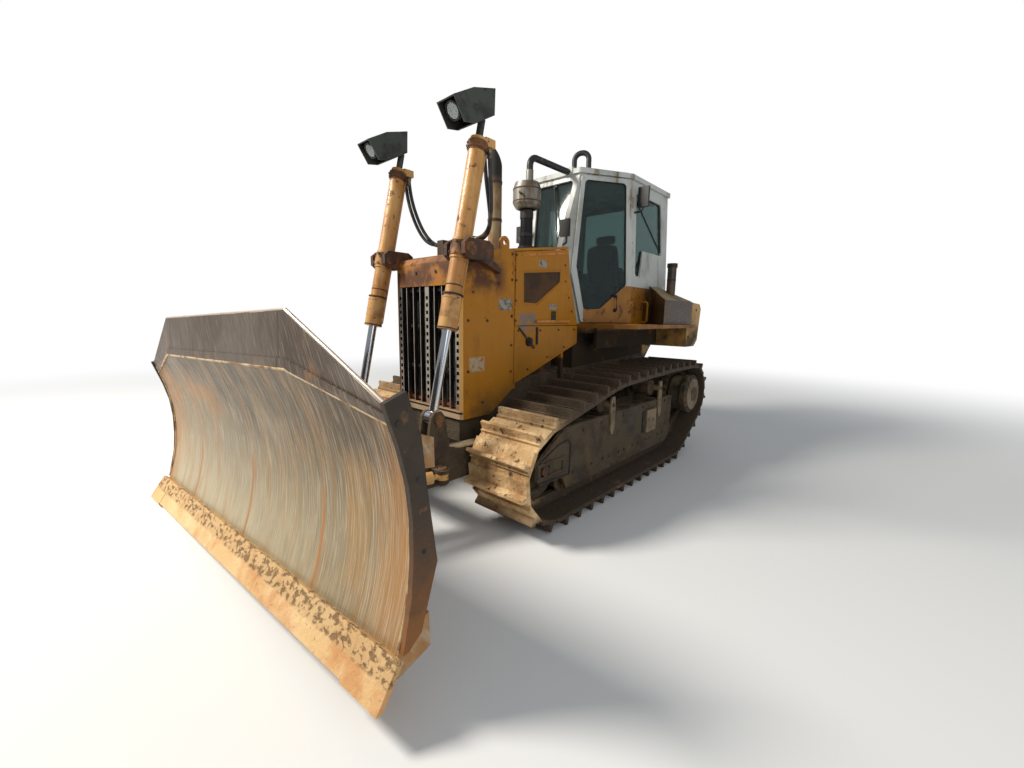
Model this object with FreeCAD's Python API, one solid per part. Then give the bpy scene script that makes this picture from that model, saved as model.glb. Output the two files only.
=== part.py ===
import FreeCAD, Part
import math
import os

os.makedirs("parts", exist_ok=True)

V = FreeCAD.Vector
X_AXIS = V(1, 0, 0)
Y_AXIS = V(0, 1, 0)
Z_AXIS = V(0, 0, 1)

# Crawler dozer with an angling and tilting blade. Millimetres.
# X points forward to the blade, Y to the machine's left, Z up from the ground.

# Clearances
FIT = 0.3
PANEL_GAP = 6.0

# Undercarriage
TRACK_GAUGE = 1900.0
SHOE_WIDTH = 610.0
SHOE_COUNT = 41
SHOE_PLATE = 22.0
SHOE_GAP = 14.0
GROUSER_HEIGHT = 60.0
GROUSER_ROOT = 46.0
GROUSER_TIP = 24.0
GROUSER_PLACE = 0.27
PIN_DEPTH = 77.0
RAIL_DEPTH = 50.0
RAIL_WIDTH = 46.0
RAIL_SPREAD = 112.0
IDLER_X = 730.0
IDLER_BELT_R = 395.0
SPROCKET_X = -2080.0
SPROCKET_Z = 740.0
SPROCKET_BELT_R = 370.0
SPROCKET_TEETH = 9
TRACK_BEND_X = -1640.0
ROLLER_R = 100.0
ROLLER_COUNT = 7
ROLLER_FIRST_X = 400.0
ROLLER_LAST_X = -1420.0
CARRIER_R = 72.0
CARRIERS = (
    # x, height of the shoe plates above it
    (-230.0, 1070.0),
    (-1290.0, 1115.0),
)
FRAME_HALF = 170.0
FRAME_BOTTOM = 330.0
FRAME_TOP = 760.0

# Hull
HULL_HALF = 400.0
HULL_BOTTOM = 400.0
HULL_TOP = 1050.0
HULL_REAR = -2330.0
HULL_FRONT = 1000.0
HULL_REAR_TOP = 1180.0
HULL_STEP_X = 520.0
CROSS_TUBE_R = 80.0
HITCH_HALF_Y = 200.0
HITCH_Z = (760.0, 940.0)
HITCH_HOLE_R = 14.0
HITCH_HOLE_DEPTH = 60.0
REAR_SHAFT = (-1560.0, 560.0)
FRONT_BEAM = (-420.0, FRAME_TOP + CROSS_TUBE_R + FIT)

# Radiator guard and hood
GUARD_FRONT = 1030.0
GUARD_HALF = 460.0
GUARD_SHEET = 14.0
GUARD_BOTTOM = 800.0
GUARD_REAR = 400.0
GRILLE_EDGE = 24.0
GRILLE_HALF = GUARD_HALF - GRILLE_EDGE
GRILLE_BOTTOM = 872.0
GRILLE_TOP = 1905.0
GRILLE_BARS = 8
GRILLE_BAR = 9.0
STILE_WIDTH = 56.0
STILE_SLOT = 30.0
SLOT_PITCH = 62.0
GUARD_CHAMFER = 22.0
CAP_FRONT_TOP = 2147.0
HOOD_FRONT_TOP = 2189.0
HOOD_BREAK_X = 832.0
LUG_X = 530.0
LUG_Z = 2285.0
LUG_R = 55.0
LUG_HOLE_R = 22.0
LUG_THICK = 24.0
HOOD_MID_TOP = 2254.0
HOOD_REAR_X = -410.0
HOOD_REAR_TOP = 2369.0
HOOD_SHEET = 12.0
HOOD_FLANGE = 24.0
DOOR_SPLIT_Z = 1570.0
SKIRT_FRONT_Z = 1110.0
SKIRT_REAR_Z = 1385.0
SKIRT_REAR_X = -620.0
DOOR_SHEET = 16.0

# Stacks on the hood, as x and y
EXHAUST = (-50.0, -250.0)
EXHAUST_R = 72.0
EXHAUST_TOP = 3370.0
EXHAUST_SLASH = 220.0
EXHAUST_WALL = 5.0
CLEANER = (-80.0, 170.0)
CLEANER_STUB_X = -114.0
CLEANER_TOP = 3085.0
STEM_R = 62.0
ENGINE_TOP = 1900.0

# Cab: corner points of the upper body at three heights
CAB_FLOOR = 1592.0
ARM_REST_Z = 2290
CAB_WAIST = 2250.0
CAB_EAVES = 3190.0
CAB_ROOF = CAB_EAVES + 78.0
CAB_WALL = 55.0
CAB_FRONT_X = (-646.0, -560.0, -770.0)
CAB_PILLAR_X = (-1366.0, -1310.0)
CAB_PILLAR_Y = (700.0, 640.0)
CAB_FRONT_Y = 320.0
CAB_REAR_X = (-2330.0, -2300.0)
CAB_POST = 62.0
CAB_CORNER_R = 45.0
CAB_DOOR_SHEET = 30.0
DOOR_LAP = 48.0
# Outlines in the side view: x, and height as a share of floor to eaves
DOOR_LEAF = (
    (-780, 0.984), (-1298, 0.989), (-1353, 0.009), (-800, 0.009), (-692, 0.337),
)
DOOR_WINDOW = (
    (-812, 0.956), (-1240, 0.959), (-1278, 0.274), (-1000, 0.104), (-825, 0.096), (-739, 0.390),
)
SIDE_WINDOW = (
    (-1440, 0.925), (-2110, 0.919), (-2165, 0.536), (-1635, 0.537), (-1560, 0.346), (-1450, 0.349),
)
DUCT_END = V(-730.0, 185.0, CAB_EAVES + 26.0)
GLASS = 8.0

# Deck, tanks
DECK_TOP = 1590.0
DECK_SHEET = 40.0
DECK_HALF = 1110.0
TANK_REAR = -2790.0
TANK_TOP = 1880.0
TANK_BOTTOM = 1300.0
TANK_HALF = 1000.0

# Lift cylinders, left side; the right one mirrors it
GIMBAL = V(1103.0, 540.0, 2150.0)
ROD_EYE = V(1383.0, 540.0, 892.0)
BARREL_R = 64.0
BARREL_BORE = 55.0
ROD_R = 36.0
BARREL_ABOVE = 845.0
BARREL_BELOW = 612.0
EYE_R = 62.0
EYE_WIDTH = 64.0
PIN_R = 32.0
LIFT_ROD = 1180.0
STUB_R = 30.0
PIPE_R = 11.0
YOKE_INNER = 83.0
YOKE_OUTER = 123.0
YOKE_HALF_HEIGHT = 75.0
YOKE_BACK = 128.0
GUSSET_X = 640.0

# Lamp boxes: outline of the sheet in the side view, and the way that its mouth faces
LAMP_OUTLINE = ((863, 3309), (1078, 3239), (1259, 3132), (1163, 2990), (1060, 3010), (869, 3124))
LAMP_Y = (470.0, 660.0)
LAMP_SHEET = 8.0
LAMP_R = 66.0
LAMP_MOUTH = V(1211.0, (LAMP_Y[0] + LAMP_Y[1]) / 2, 3061.0)
LAMP_WAY = V(0.828, 0.0, -0.56)

# Hoses of the lift cylinders, left side: from the ports behind the barrel to a block on the guard
HOSE_R = 16.0
HOSE_BEND = 0.45
PORT_X = 832.0
PORT_Z = 2925.0
HOSE_ENDS = (650.0, 694.0)
HOSE_END_Y = 228.0
HOSE_END_Z = 2314.0
HOSE_OUTER = (
    (PORT_X, 568, PORT_Z), (826, 566, 2835), (806, 556, 2700), (772, 532, 2565), (738, 492, 2450),
    (711, 440, 2372), (698, 368, 2330), (694, 296, HOSE_END_Z), (694, HOSE_END_Y, HOSE_END_Z),
)
HOSE_INNER = (
    (PORT_X, 512, PORT_Z), (825, 511, 2835), (800, 505, 2700), (757, 488, 2565), (712, 462, 2455),
    (676, 413, 2374), (657, 350, 2331), (650, 288, HOSE_END_Z), (650, HOSE_END_Y, HOSE_END_Z),
)

# Push frame
ARM_PIVOT = V(-700.0, 0.0, 480.0)
ARM_INNER = 474.0
ARM_OUTER = 610.0
ARM_HEIGHT = 190.0
CORNER_X = 1300.0
NOSE_X = 2290.0
NOSE_Z = 430.0
NOSE_R = 78.0
NOSE_TOP = 640.0

# Blade
BLADE_ANGLE = 3.65
BLADE_TILT = 2.0
BLADE_TIP_X = 2663.0
BLADE_TIP_Z = 86.0
BLADE_HALF = 1700.0
BLADE_SHEET = 25.0
GUARD_BEND_HALF = 1000.0
EDGE_BACK = (-100.0, 142.0)
MOULD_DEEP = (-195.0, 700.0)
MOULD_TOP_X = -50.0
WELD_MID_Z = 1281.0
WELD_END_Z = 1100.0
SPILL_TOP_Z = 1552.0
SPILL_END_Z = 1185.0
SPILL_TOP_X = -63.0
SPILL_SHEET = 22.0
END_SHEET = 28.0
EDGE_HEIGHT = 150.0
EDGE_SHEET = 32.0
TILT_PIVOT_Z = 490.0
TILT_ARM = 400.0
TILT_REACH = 700.0
TILT_X = 2322.0
CROSSHEAD_HALF = 490.0
CROSSHEAD_X = 2310.0

# Small cylinders: angle and tilt
SMALL_BARREL_R = 45.0
SMALL_BORE = 38.0
SMALL_ROD_R = 25.0
SMALL_EYE_R = 45.0
SMALL_EYE_WIDTH = 44.0
SMALL_PIN_R = 22.0
EAR = 24.0
EAR_GAP = 6.0
ANGLE_BASE = V(1420.0, 700.0, 490.0)
ANGLE_EYE = V(2225.0, 440.0, 490.0)
ANGLE_BARREL = 600.0
ANGLE_ROD = 545.0
TILT_BARREL = 500.0
TILT_ROD = 510.0


def box(x0, x1, y0, y1, z0, z1):
    return Part.makeBox(x1 - x0, y1 - y0, z1 - z0, V(x0, y0, z0))


def rod(start, end, radius):
    return Part.makeCylinder(radius, (end - start).Length, start, end - start)


def face(points):
    return Part.Face(Part.makePolygon(points + points[:1]))


def side_plate(points, y0, y1):
    return face([V(x, y0, z) for x, z in points]).extrude(V(0, y1 - y0, 0))


def flat_plate(points, z0, z1):
    return face([V(x, y, z0) for x, y in points]).extrude(V(0, 0, z1 - z0))


def mirrored(shape):
    return shape.mirror(V(0, 0, 0), Y_AXIS)


def both(shape):
    return [shape, mirrored(shape)]


def union(shapes):
    return shapes[0].multiFuse(shapes[1:]).removeSplitter() if len(shapes) > 1 else shapes[0]


def bends(points, share_or_radius):
    """Runs and tangent arcs through a route's points: a fixed radius, or as large as the runs allow."""
    edges = []
    radii = []
    at = points[0]
    for before, corner, after in zip(points, points[1:], points[2:]):
        came = corner - before
        goes = after - corner
        half = came.getAngle(goes) / 2
        shorter = min(came.Length, goes.Length)
        radius = share_or_radius if share_or_radius > 1 else share_or_radius * shorter / math.tan(half)
        came.normalize()
        goes.normalize()
        start = corner - came * radius * math.tan(half)
        end = corner + goes * radius * math.tan(half)
        inside = goes - came
        inside.normalize()
        middle = corner + inside * (radius / math.cos(half) - radius)
        edges += [Part.LineSegment(at, start).toShape(), Part.Arc(start, middle, end).toShape()]
        radii.append(round(radius))
        at = end
    edges.append(Part.LineSegment(at, points[-1]).toShape())
    return edges, radii


def tube(points, radius, bend):
    edges, radii = bends(points, bend)
    path = Part.Wire(edges)
    section = Part.Wire([Part.Circle(points[0], points[1] - points[0], radius).toShape()])
    solid = path.makePipeShell([section], True, False)
    print("tube of", radius, "radii", radii, "length", round(path.Length),
          "volume share", round(solid.Volume / (math.pi * radius * radius * path.Length), 4))
    return solid


def save(node, shapes):
    whole = shapes[0] if len(shapes) == 1 else Part.makeCompound(shapes)
    whole.exportStep("parts/" + node + ".step")


# Track loop

def track_circles(depth):
    """Circles that the loop runs round, as x, z and radius, at a depth below the shoe plates."""
    ground = GROUSER_HEIGHT
    turn_r = ROLLER_R + PIN_DEPTH + RAIL_DEPTH
    circles = [(IDLER_X, ground + IDLER_BELT_R, IDLER_BELT_R - depth)]
    for x, plate_z in CARRIERS:
        circles.append((x, plate_z - turn_r, turn_r - depth))
    circles.append((SPROCKET_X, SPROCKET_Z, SPROCKET_BELT_R - depth))
    circles.append((TRACK_BEND_X, ground + turn_r, turn_r - depth))
    return circles


def belt(circles):
    """Straight and round stretches of a taut loop, each as length and a function of distance."""
    tangents = []
    for i, (x, z, r) in enumerate(circles):
        nx, nz, nr = circles[(i + 1) % len(circles)]
        span = math.hypot(nx - x, nz - z)
        dx, dz = (nx - x) / span, (nz - z) / span
        lean = (r - nr) / span
        flat = math.sqrt(1 - lean * lean)
        ux, uz = flat * dz + lean * dx, -flat * dx + lean * dz
        tangents.append((x + r * ux, z + r * uz, nx + nr * ux, nz + nr * uz))
    stretches = []
    for i, (x, z, r) in enumerate(circles):
        came = tangents[i - 1]
        goes = tangents[i]
        start = math.atan2(came[3] - z, came[2] - x)
        turn = (math.atan2(goes[1] - z, goes[0] - x) - start) % (2 * math.pi)
        stretches.append(("arc", turn * r, (x, z, r, start)))
        stretches.append(("line", math.hypot(goes[2] - goes[0], goes[3] - goes[1]), goes))
    return stretches


def belt_point(stretches, distance):
    for kind, length, data in stretches:
        if distance <= length:
            if kind == "arc":
                x, z, r, start = data
                return (x + r * math.cos(start + distance / r), z + r * math.sin(start + distance / r))
            share = distance / length
            return (data[0] + share * (data[2] - data[0]), data[1] + share * (data[3] - data[1]))
        distance -= length
    return (stretches[0][2][0], stretches[0][2][1])


def loop_pins():
    stretches = belt(track_circles(PIN_DEPTH))
    total = sum(stretch[1] for stretch in stretches)
    return [belt_point(stretches, total * k / SHOE_COUNT) for k in range(SHOE_COUNT)]


PINS = loop_pins()
PITCH = math.hypot(PINS[1][0] - PINS[0][0], PINS[1][1] - PINS[0][1])
IDLER_Z = GROUSER_HEIGHT + IDLER_BELT_R


def joint_normal(k):
    ax, az = PINS[k - 1]
    bx, bz = PINS[(k + 1) % SHOE_COUNT]
    size = math.hypot(bx - ax, bz - az)
    return ((bz - az) / size, -(bx - ax) / size)


def ring_of_joints(height):
    return [
        (x + height * joint_normal(k)[0], z + height * joint_normal(k)[1])
        for k, (x, z) in enumerate(PINS)
    ]


def shoe_outline():
    # distance along the shoe as a share of the pitch, shift along it, height over the plate
    profile = (
        (0.0, SHOE_GAP / 2, -SHOE_PLATE),
        (0.0, SHOE_GAP / 2, 0.0),
        (GROUSER_PLACE, -GROUSER_ROOT / 2, 0.0),
        (GROUSER_PLACE, -GROUSER_TIP / 2, GROUSER_HEIGHT),
        (GROUSER_PLACE, GROUSER_TIP / 2, GROUSER_HEIGHT),
        (GROUSER_PLACE, GROUSER_ROOT / 2, 0.0),
        (1.0, -SHOE_GAP / 2, 0.0),
        (1.0, -SHOE_GAP / 2, -SHOE_PLATE),
    )
    points = []
    for k, (x, z) in enumerate(PINS):
        nx, nz = PINS[(k + 1) % SHOE_COUNT]
        size = math.hypot(nx - x, nz - z)
        tx, tz = (nx - x) / size, (nz - z) / size
        for share, shift, height in profile:
            along = share * size + shift
            up = PIN_DEPTH + height
            points.append((x + along * tx + up * tz, z + along * tz - up * tx))
    return points


def ring(outer, inner, y0, y1):
    return side_plate(outer, y0, y1).cut(side_plate(inner, y0 - 1, y1 + 1))


def track(middle):
    shoes = ring(shoe_outline(), ring_of_joints(PIN_DEPTH - SHOE_PLATE - 14), middle - SHOE_WIDTH / 2,
                 middle + SHOE_WIDTH / 2)
    rails = []
    for side in (-1, 1):
        y = middle + side * RAIL_SPREAD / 2
        rails.append(ring(ring_of_joints(PIN_DEPTH - SHOE_PLATE), ring_of_joints(-RAIL_DEPTH),
                          y - RAIL_WIDTH / 2, y + RAIL_WIDTH / 2))
    return union([shoes] + rails)


def tread_radius(belt_r):
    pin_r = belt_r - PIN_DEPTH
    return math.sqrt(pin_r * pin_r - PITCH * PITCH / 4) - RAIL_DEPTH - 2


def turned(profile, x, middle, z):
    """Solid of revolution about a cross axis; profile gives radius and offset from the middle."""
    outline = face([V(x, middle + offset, z + radius) for radius, offset in profile])
    return outline.revolve(V(x, middle, z), Y_AXIS, 360)


def idler(middle):
    tread = tread_radius(IDLER_BELT_R)
    flange = tread + 12
    guide = RAIL_SPREAD / 2 - RAIL_WIDTH / 2 - 4
    rim = RAIL_SPREAD / 2 + RAIL_WIDTH / 2
    profile = (
        (0, -150), (60, -150), (60, -100), (95, -86), (120, -40), (tread - 60, -26), (tread - 44, -rim),
        (tread, -rim), (tread, -guide), (flange, -guide + 6), (flange, guide - 6), (tread, guide),
        (tread, rim), (tread - 44, rim), (tread - 60, 26), (120, 40), (95, 86), (60, 100), (60, 150),
        (0, 150),
    )
    return turned(profile, IDLER_X, middle, IDLER_Z)


def sprocket(middle):
    pin_r = SPROCKET_BELT_R - PIN_DEPTH
    tip = pin_r + 12
    root = tread_radius(SPROCKET_BELT_R) - 6
    teeth = 2 * SPROCKET_TEETH
    outline = []
    for k in range(teeth):
        for share, radius in ((-0.3, root), (-0.14, tip), (0.14, tip), (0.3, root)):
            a = 2 * math.pi * (k + share) / teeth
            outline.append((SPROCKET_X + radius * math.cos(a), SPROCKET_Z + radius * math.sin(a)))
    half = RAIL_SPREAD / 2 - RAIL_WIDTH / 2 - 6
    wheel = side_plate(outline, middle - half, middle + half)
    hub = (
        (0, -(middle - HULL_HALF)), (190, -(middle - HULL_HALF)), (190, -330), (215, -240), (215, -60),
        (root - 30, -half + 4), (root - 30, half - 4), (215, 60), (215, 190), (235, 200), (235, 262),
        (190, 285), (90, 292), (80, 304), (0, 304),
    )
    return union([wheel, turned(hub, SPROCKET_X, middle, SPROCKET_Z)])


def roller(x, z, middle, radius):
    groove = RAIL_SPREAD / 2 - RAIL_WIDTH / 2 - 3
    rim = RAIL_SPREAD / 2 + RAIL_WIDTH / 2
    profile = (
        (0, -FRAME_HALF + 30), (34, -FRAME_HALF + 30), (34, -rim - 22), (radius + 14, -rim - 18),
        (radius + 14, -rim - 3), (radius, -rim), (radius, -groove), (radius - 26, -groove + 6),
        (radius - 26, groove - 6), (radius, groove), (radius, rim), (radius + 14, rim + 3),
        (radius + 14, rim + 18), (34, rim + 22), (34, FRAME_HALF - 30), (0, FRAME_HALF - 30),
    )
    return turned(profile, x, middle, z)


def roller_places():
    step = (ROLLER_LAST_X - ROLLER_FIRST_X) / (ROLLER_COUNT - 1)
    return [ROLLER_FIRST_X + step * k for k in range(ROLLER_COUNT)]


ROLLER_Z = GROUSER_HEIGHT + PIN_DEPTH + RAIL_DEPTH + ROLLER_R + FIT
MIDDLE = TRACK_GAUGE / 2


def track_frame(middle):
    """Box beam with roller guards outside and inside, an idler fork ahead and carrier brackets."""
    tread = tread_radius(IDLER_BELT_R)
    sides = []
    for side in (-1, 1):
        y0 = middle + side * (FRAME_HALF - 30)
        y1 = middle + side * FRAME_HALF
        low, high = min(y0, y1), max(y0, y1)
        guard = (
            (IDLER_X - tread - 40, ROLLER_Z - 62), (TRACK_BEND_X + 60, ROLLER_Z - 62),
            (TRACK_BEND_X - 40, ROLLER_Z), (TRACK_BEND_X - 60, FRAME_TOP), (IDLER_X - 250, FRAME_TOP),
            (IDLER_X + 60, IDLER_Z + 105), (IDLER_X + 120, IDLER_Z + 50), (IDLER_X + 120, IDLER_Z - 50),
            (IDLER_X + 60, IDLER_Z - 105), (IDLER_X - tread + 20, IDLER_Z - 120),
        )
        plate = side_plate(guard, low, high)
        hole = rod(V(IDLER_X, low - 1, IDLER_Z), V(IDLER_X, high + 1, IDLER_Z), 60 + FIT)
        sides.append(plate.cut(hole))
    beam = side_plate((
        (IDLER_X - tread - 30, ROLLER_Z + 130), (TRACK_BEND_X - 60, ROLLER_Z + 130),
        (TRACK_BEND_X - 60, FRAME_TOP - 60), (IDLER_X - tread - 30, FRAME_TOP - 40),
    ), middle - FRAME_HALF + 30, middle + FRAME_HALF - 30)
    pieces = sides + [beam]
    turn_r = ROLLER_R + PIN_DEPTH + RAIL_DEPTH
    for x, plate_z in CARRIERS:
        z = plate_z - turn_r
        pieces.append(side_plate((
            (x - 90, FRAME_TOP - 60), (x - 45, z), (x - 45, z + 40), (x + 45, z + 40), (x + 45, z),
            (x + 90, FRAME_TOP - 60),
        ), middle - FRAME_HALF, middle - FRAME_HALF + 29))
    return union(pieces)


def carrier_roller(x, plate_z, middle):
    turn_r = ROLLER_R + PIN_DEPTH + RAIL_DEPTH
    z = plate_z - turn_r
    radius = ROLLER_R - 12
    rim = RAIL_SPREAD / 2 + RAIL_WIDTH / 2
    profile = (
        (0, -FRAME_HALF + 29 + FIT), (34, -FRAME_HALF + 29 + FIT), (34, -rim - 22), (radius, -rim - 18),
        (radius, rim + 10), (radius - 18, rim + 22), (0, rim + 22),
    )
    return turned(profile, x, middle, z)


# Hull and cross members

def hull():
    body = side_plate((
        (HULL_FRONT, 600), (HULL_FRONT - 300, HULL_BOTTOM), (HULL_REAR + 260, HULL_BOTTOM),
        (HULL_REAR, 620), (HULL_REAR, HULL_REAR_TOP), (HULL_STEP_X, HULL_TOP),
        (HULL_STEP_X + 200, GUARD_BOTTOM - FIT), (HULL_FRONT, GUARD_BOTTOM - FIT),
    ), -HULL_HALF, HULL_HALF)
    pieces = [body]
    for (x, z), reach in ((REAR_SHAFT, MIDDLE - FRAME_HALF - FIT), (FRONT_BEAM, MIDDLE - FRAME_HALF + 29)):
        pieces.append(rod(V(x, -reach, z), V(x, reach, z), CROSS_TUBE_R))
    for side in (-1, 1):
        start = V(ARM_PIVOT.x, side * (HULL_HALF - 40), ARM_PIVOT.z)
        boss_end = V(ARM_PIVOT.x, side * (ARM_INNER - 4), ARM_PIVOT.z)
        pin_end = V(ARM_PIVOT.x, side * (ARM_OUTER + 4), ARM_PIVOT.z)
        cap_end = V(ARM_PIVOT.x, side * (ARM_OUTER + 22), ARM_PIVOT.z)
        pieces.append(rod(start, boss_end, 95))
        pieces.append(rod(boss_end, pin_end, 60))
        pieces.append(rod(pin_end, cap_end, 85))
    holes = [
        rod(V(HULL_REAR - 1, y, z), V(HULL_REAR + HITCH_HOLE_DEPTH, y, z), HITCH_HOLE_R)
        for y in (-HITCH_HALF_Y, HITCH_HALF_Y) for z in HITCH_Z
    ]
    return union(pieces).cut(Part.makeCompound(holes))


def hull_top(x):
    return HULL_REAR_TOP + (HULL_TOP - HULL_REAR_TOP) * (x - HULL_REAR) / (HULL_STEP_X - HULL_REAR)


# Radiator guard, grille and hood

def guard_profile(inset):
    return (
        (GUARD_FRONT - inset, GUARD_BOTTOM + inset), (GUARD_FRONT - inset, CAP_FRONT_TOP - 50),
        (GUARD_FRONT - 40 - inset, CAP_FRONT_TOP - inset), (HOOD_BREAK_X, HOOD_FRONT_TOP - inset),
        (GUARD_REAR, HOOD_MID_TOP - inset), (GUARD_REAR, 1000 + inset), (700 - inset, GUARD_BOTTOM + inset),
    )


def lifting_lug():
    eye = V(LUG_X, GUARD_HALF, LUG_Z)
    back = V(LUG_X, GUARD_HALF - LUG_THICK, LUG_Z)
    foot = box(LUG_X - LUG_R, LUG_X + LUG_R, back.y, eye.y, LUG_Z - 90, LUG_Z)
    return union([rod(back, eye, LUG_R), foot]).cut(rod(back - Y_AXIS, eye + Y_AXIS, LUG_HOLE_R))


def radiator_guard():
    outer = side_plate(guard_profile(0), -GUARD_HALF, GUARD_HALF)
    inner = side_plate(guard_profile(GUARD_SHEET), -GUARD_HALF + GUARD_SHEET, GUARD_HALF - GUARD_SHEET)
    below = box(GUARD_REAR - 1, GUARD_FRONT - 1, -GUARD_HALF + GUARD_SHEET, GUARD_HALF - GUARD_SHEET,
                GUARD_BOTTOM - 1, GRILLE_TOP)
    back = box(GUARD_REAR - 1, GUARD_REAR + 200, -GUARD_HALF + GUARD_SHEET, GUARD_HALF - GUARD_SHEET,
               1020, HOOD_MID_TOP - 30)
    bar = box(GUARD_FRONT - 60, GUARD_FRONT, -GUARD_HALF, GUARD_HALF, GUARD_BOTTOM, CAP_FRONT_TOP - 50)
    opening = box(GUARD_FRONT - 100, GUARD_FRONT + 50, -GRILLE_HALF, GRILLE_HALF, GRILLE_BOTTOM, GRILLE_TOP)
    lug = lifting_lug()
    knuckles = engine_hinge(False)
    pieces = [outer.cut(inner).cut(back).cut(below), bar, lug] + knuckles + [mirrored(k) for k in knuckles]
    rim = GUARD_FRONT - GUARD_CHAMFER
    side = GUARD_HALF - GUARD_CHAMFER
    corner = flat_plate(((rim, GUARD_HALF), (GUARD_FRONT, side), (GUARD_FRONT + 1, side),
                         (GUARD_FRONT + 1, GUARD_HALF + 1), (rim, GUARD_HALF + 1)),
                        GUARD_BOTTOM - 1, CAP_FRONT_TOP + 1)
    return union(pieces).cut(opening).cut(Part.makeCompound(both(corner)))


HINGE_X = GUARD_REAR - 7
HINGE_Y = GUARD_HALF + 6
ENGINE_HINGES = (1700.0, 2080.0)


def engine_hinge(on_door):
    """Knuckles at the front edge of the engine door: the guard's two with their pin, or the door's one."""
    pieces = []
    for z in ENGINE_HINGES:
        if on_door:
            knuckle = Part.makeCylinder(9, 50, V(HINGE_X, HINGE_Y, z - 25))
            tab = box(HINGE_X - 40, HINGE_X, GUARD_HALF - 2, HINGE_Y, z - 25, z + 25)
            hole = Part.makeCylinder(5 + FIT, 60, V(HINGE_X, HINGE_Y, z - 30))
            pieces.append(union([knuckle, tab]).cut(hole))
        else:
            pieces.append(Part.makeCylinder(5, 112, V(HINGE_X, HINGE_Y, z - 56)))
            for low in (z - 56, z + 26):
                pieces.append(Part.makeCylinder(9, 30, V(HINGE_X, HINGE_Y, low)))
                pieces.append(box(HINGE_X, GUARD_REAR + 30, GUARD_HALF - 2, HINGE_Y, low, low + 30))
    return pieces


def grille():
    """Two leaves of upright bars between three perforated stiles, with rails behind them."""
    half = GRILLE_HALF - FIT
    step = (2 * half - STILE_WIDTH) / GRILLE_BARS
    low = GRILLE_BOTTOM + FIT
    high = GRILLE_TOP - FIT
    slots = int((high - low - 80) / SLOT_PITCH)
    pieces = []
    for k in range(GRILLE_BARS + 1):
        y = -half + STILE_WIDTH / 2 + k * step
        if k % (GRILLE_BARS // 2):
            pieces.append(box(GUARD_FRONT - 48, GUARD_FRONT - 8, y - GRILLE_BAR / 2, y + GRILLE_BAR / 2,
                              low, high))
            continue
        stile = box(GUARD_FRONT - 20, GUARD_FRONT - 8, y - STILE_WIDTH / 2, y + STILE_WIDTH / 2, low, high)
        holes = []
        for n in range(slots):
            z = low + 50 + n * SLOT_PITCH
            holes.append(box(GUARD_FRONT - 21, GUARD_FRONT - 7, y - STILE_SLOT / 2, y + STILE_SLOT / 2,
                             z, z + SLOT_PITCH / 2))
        pieces.append(stile.cut(Part.makeCompound(holes)))
        for side in (-1, 1):
            edge = y + side * (STILE_WIDTH - GRILLE_BAR) / 2
            pieces.append(box(GUARD_FRONT - 48, GUARD_FRONT - 8, edge - GRILLE_BAR / 2, edge + GRILLE_BAR / 2,
                              low, high))
    for z in (GRILLE_BOTTOM + 30, 1200, 1560, GRILLE_TOP - 30):
        pieces.append(box(GUARD_FRONT - 58, GUARD_FRONT - 34, -half, half, z - 14, z + 14))
    return union(pieces)


def radiator():
    return box(GUARD_FRONT - 190, GUARD_FRONT - 110, -GUARD_HALF + GUARD_SHEET, GUARD_HALF - GUARD_SHEET,
               GRILLE_BOTTOM - 30, GRILLE_TOP + 40)


def hood_z(x):
    share = (GUARD_REAR - x) / (GUARD_REAR - HOOD_REAR_X)
    return HOOD_MID_TOP + share * (HOOD_REAR_TOP - HOOD_MID_TOP)


def hood():
    front = GUARD_REAR - FIT
    outer = side_plate((
        (front, hood_z(front)), (HOOD_REAR_X, HOOD_REAR_TOP), (HOOD_REAR_X, HOOD_REAR_TOP - HOOD_FLANGE),
        (front, hood_z(front) - HOOD_FLANGE),
    ), -GUARD_HALF, GUARD_HALF)
    inner = side_plate((
        (front + 1, hood_z(front) - HOOD_SHEET), (HOOD_REAR_X - 1, HOOD_REAR_TOP - HOOD_SHEET),
        (HOOD_REAR_X - 1, HOOD_REAR_TOP - 200), (front + 1, hood_z(front) - 200),
    ), -GUARD_HALF + HOOD_SHEET, GUARD_HALF - HOOD_SHEET)
    holes = [
        Part.makeCylinder(EXHAUST_R + FIT, 500, V(EXHAUST[0], EXHAUST[1], 2000)),
        Part.makeCylinder(STEM_R + FIT, 500, V(CLEANER[0], CLEANER[1], 2000)),
    ]
    return outer.cut(inner).cut(Part.makeCompound(holes))


def skirt():
    """Fixed lower side panel below the engine door, with the posts that the door shuts on."""
    panel = side_plate((
        (GUARD_REAR - 8, 1040), (GUARD_REAR - 8, DOOR_SPLIT_Z), (SKIRT_REAR_X, DOOR_SPLIT_Z),
        (SKIRT_REAR_X, SKIRT_REAR_Z), (160, SKIRT_FRONT_Z),
    ), GUARD_HALF - DOOR_SHEET, GUARD_HALF)
    pieces = [panel]
    inner = GUARD_HALF - DOOR_SHEET - PANEL_GAP
    for x in (GUARD_REAR - 48, HOOD_REAR_X + 4):
        pieces.append(box(x, x + 40, inner - 50, inner, 1180, hood_z(x + 40) - HOOD_SHEET - FIT))
        pieces.append(box(x, x + 40, HULL_HALF + FIT, inner, hull_top(x) - 70, 1200))
    pieces.append(box(HOOD_REAR_X + 4, GUARD_REAR - 8, inner - 50, GUARD_HALF - 1, DOOR_SPLIT_Z - 60,
                      DOOR_SPLIT_Z - 20))
    return union(pieces)


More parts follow.
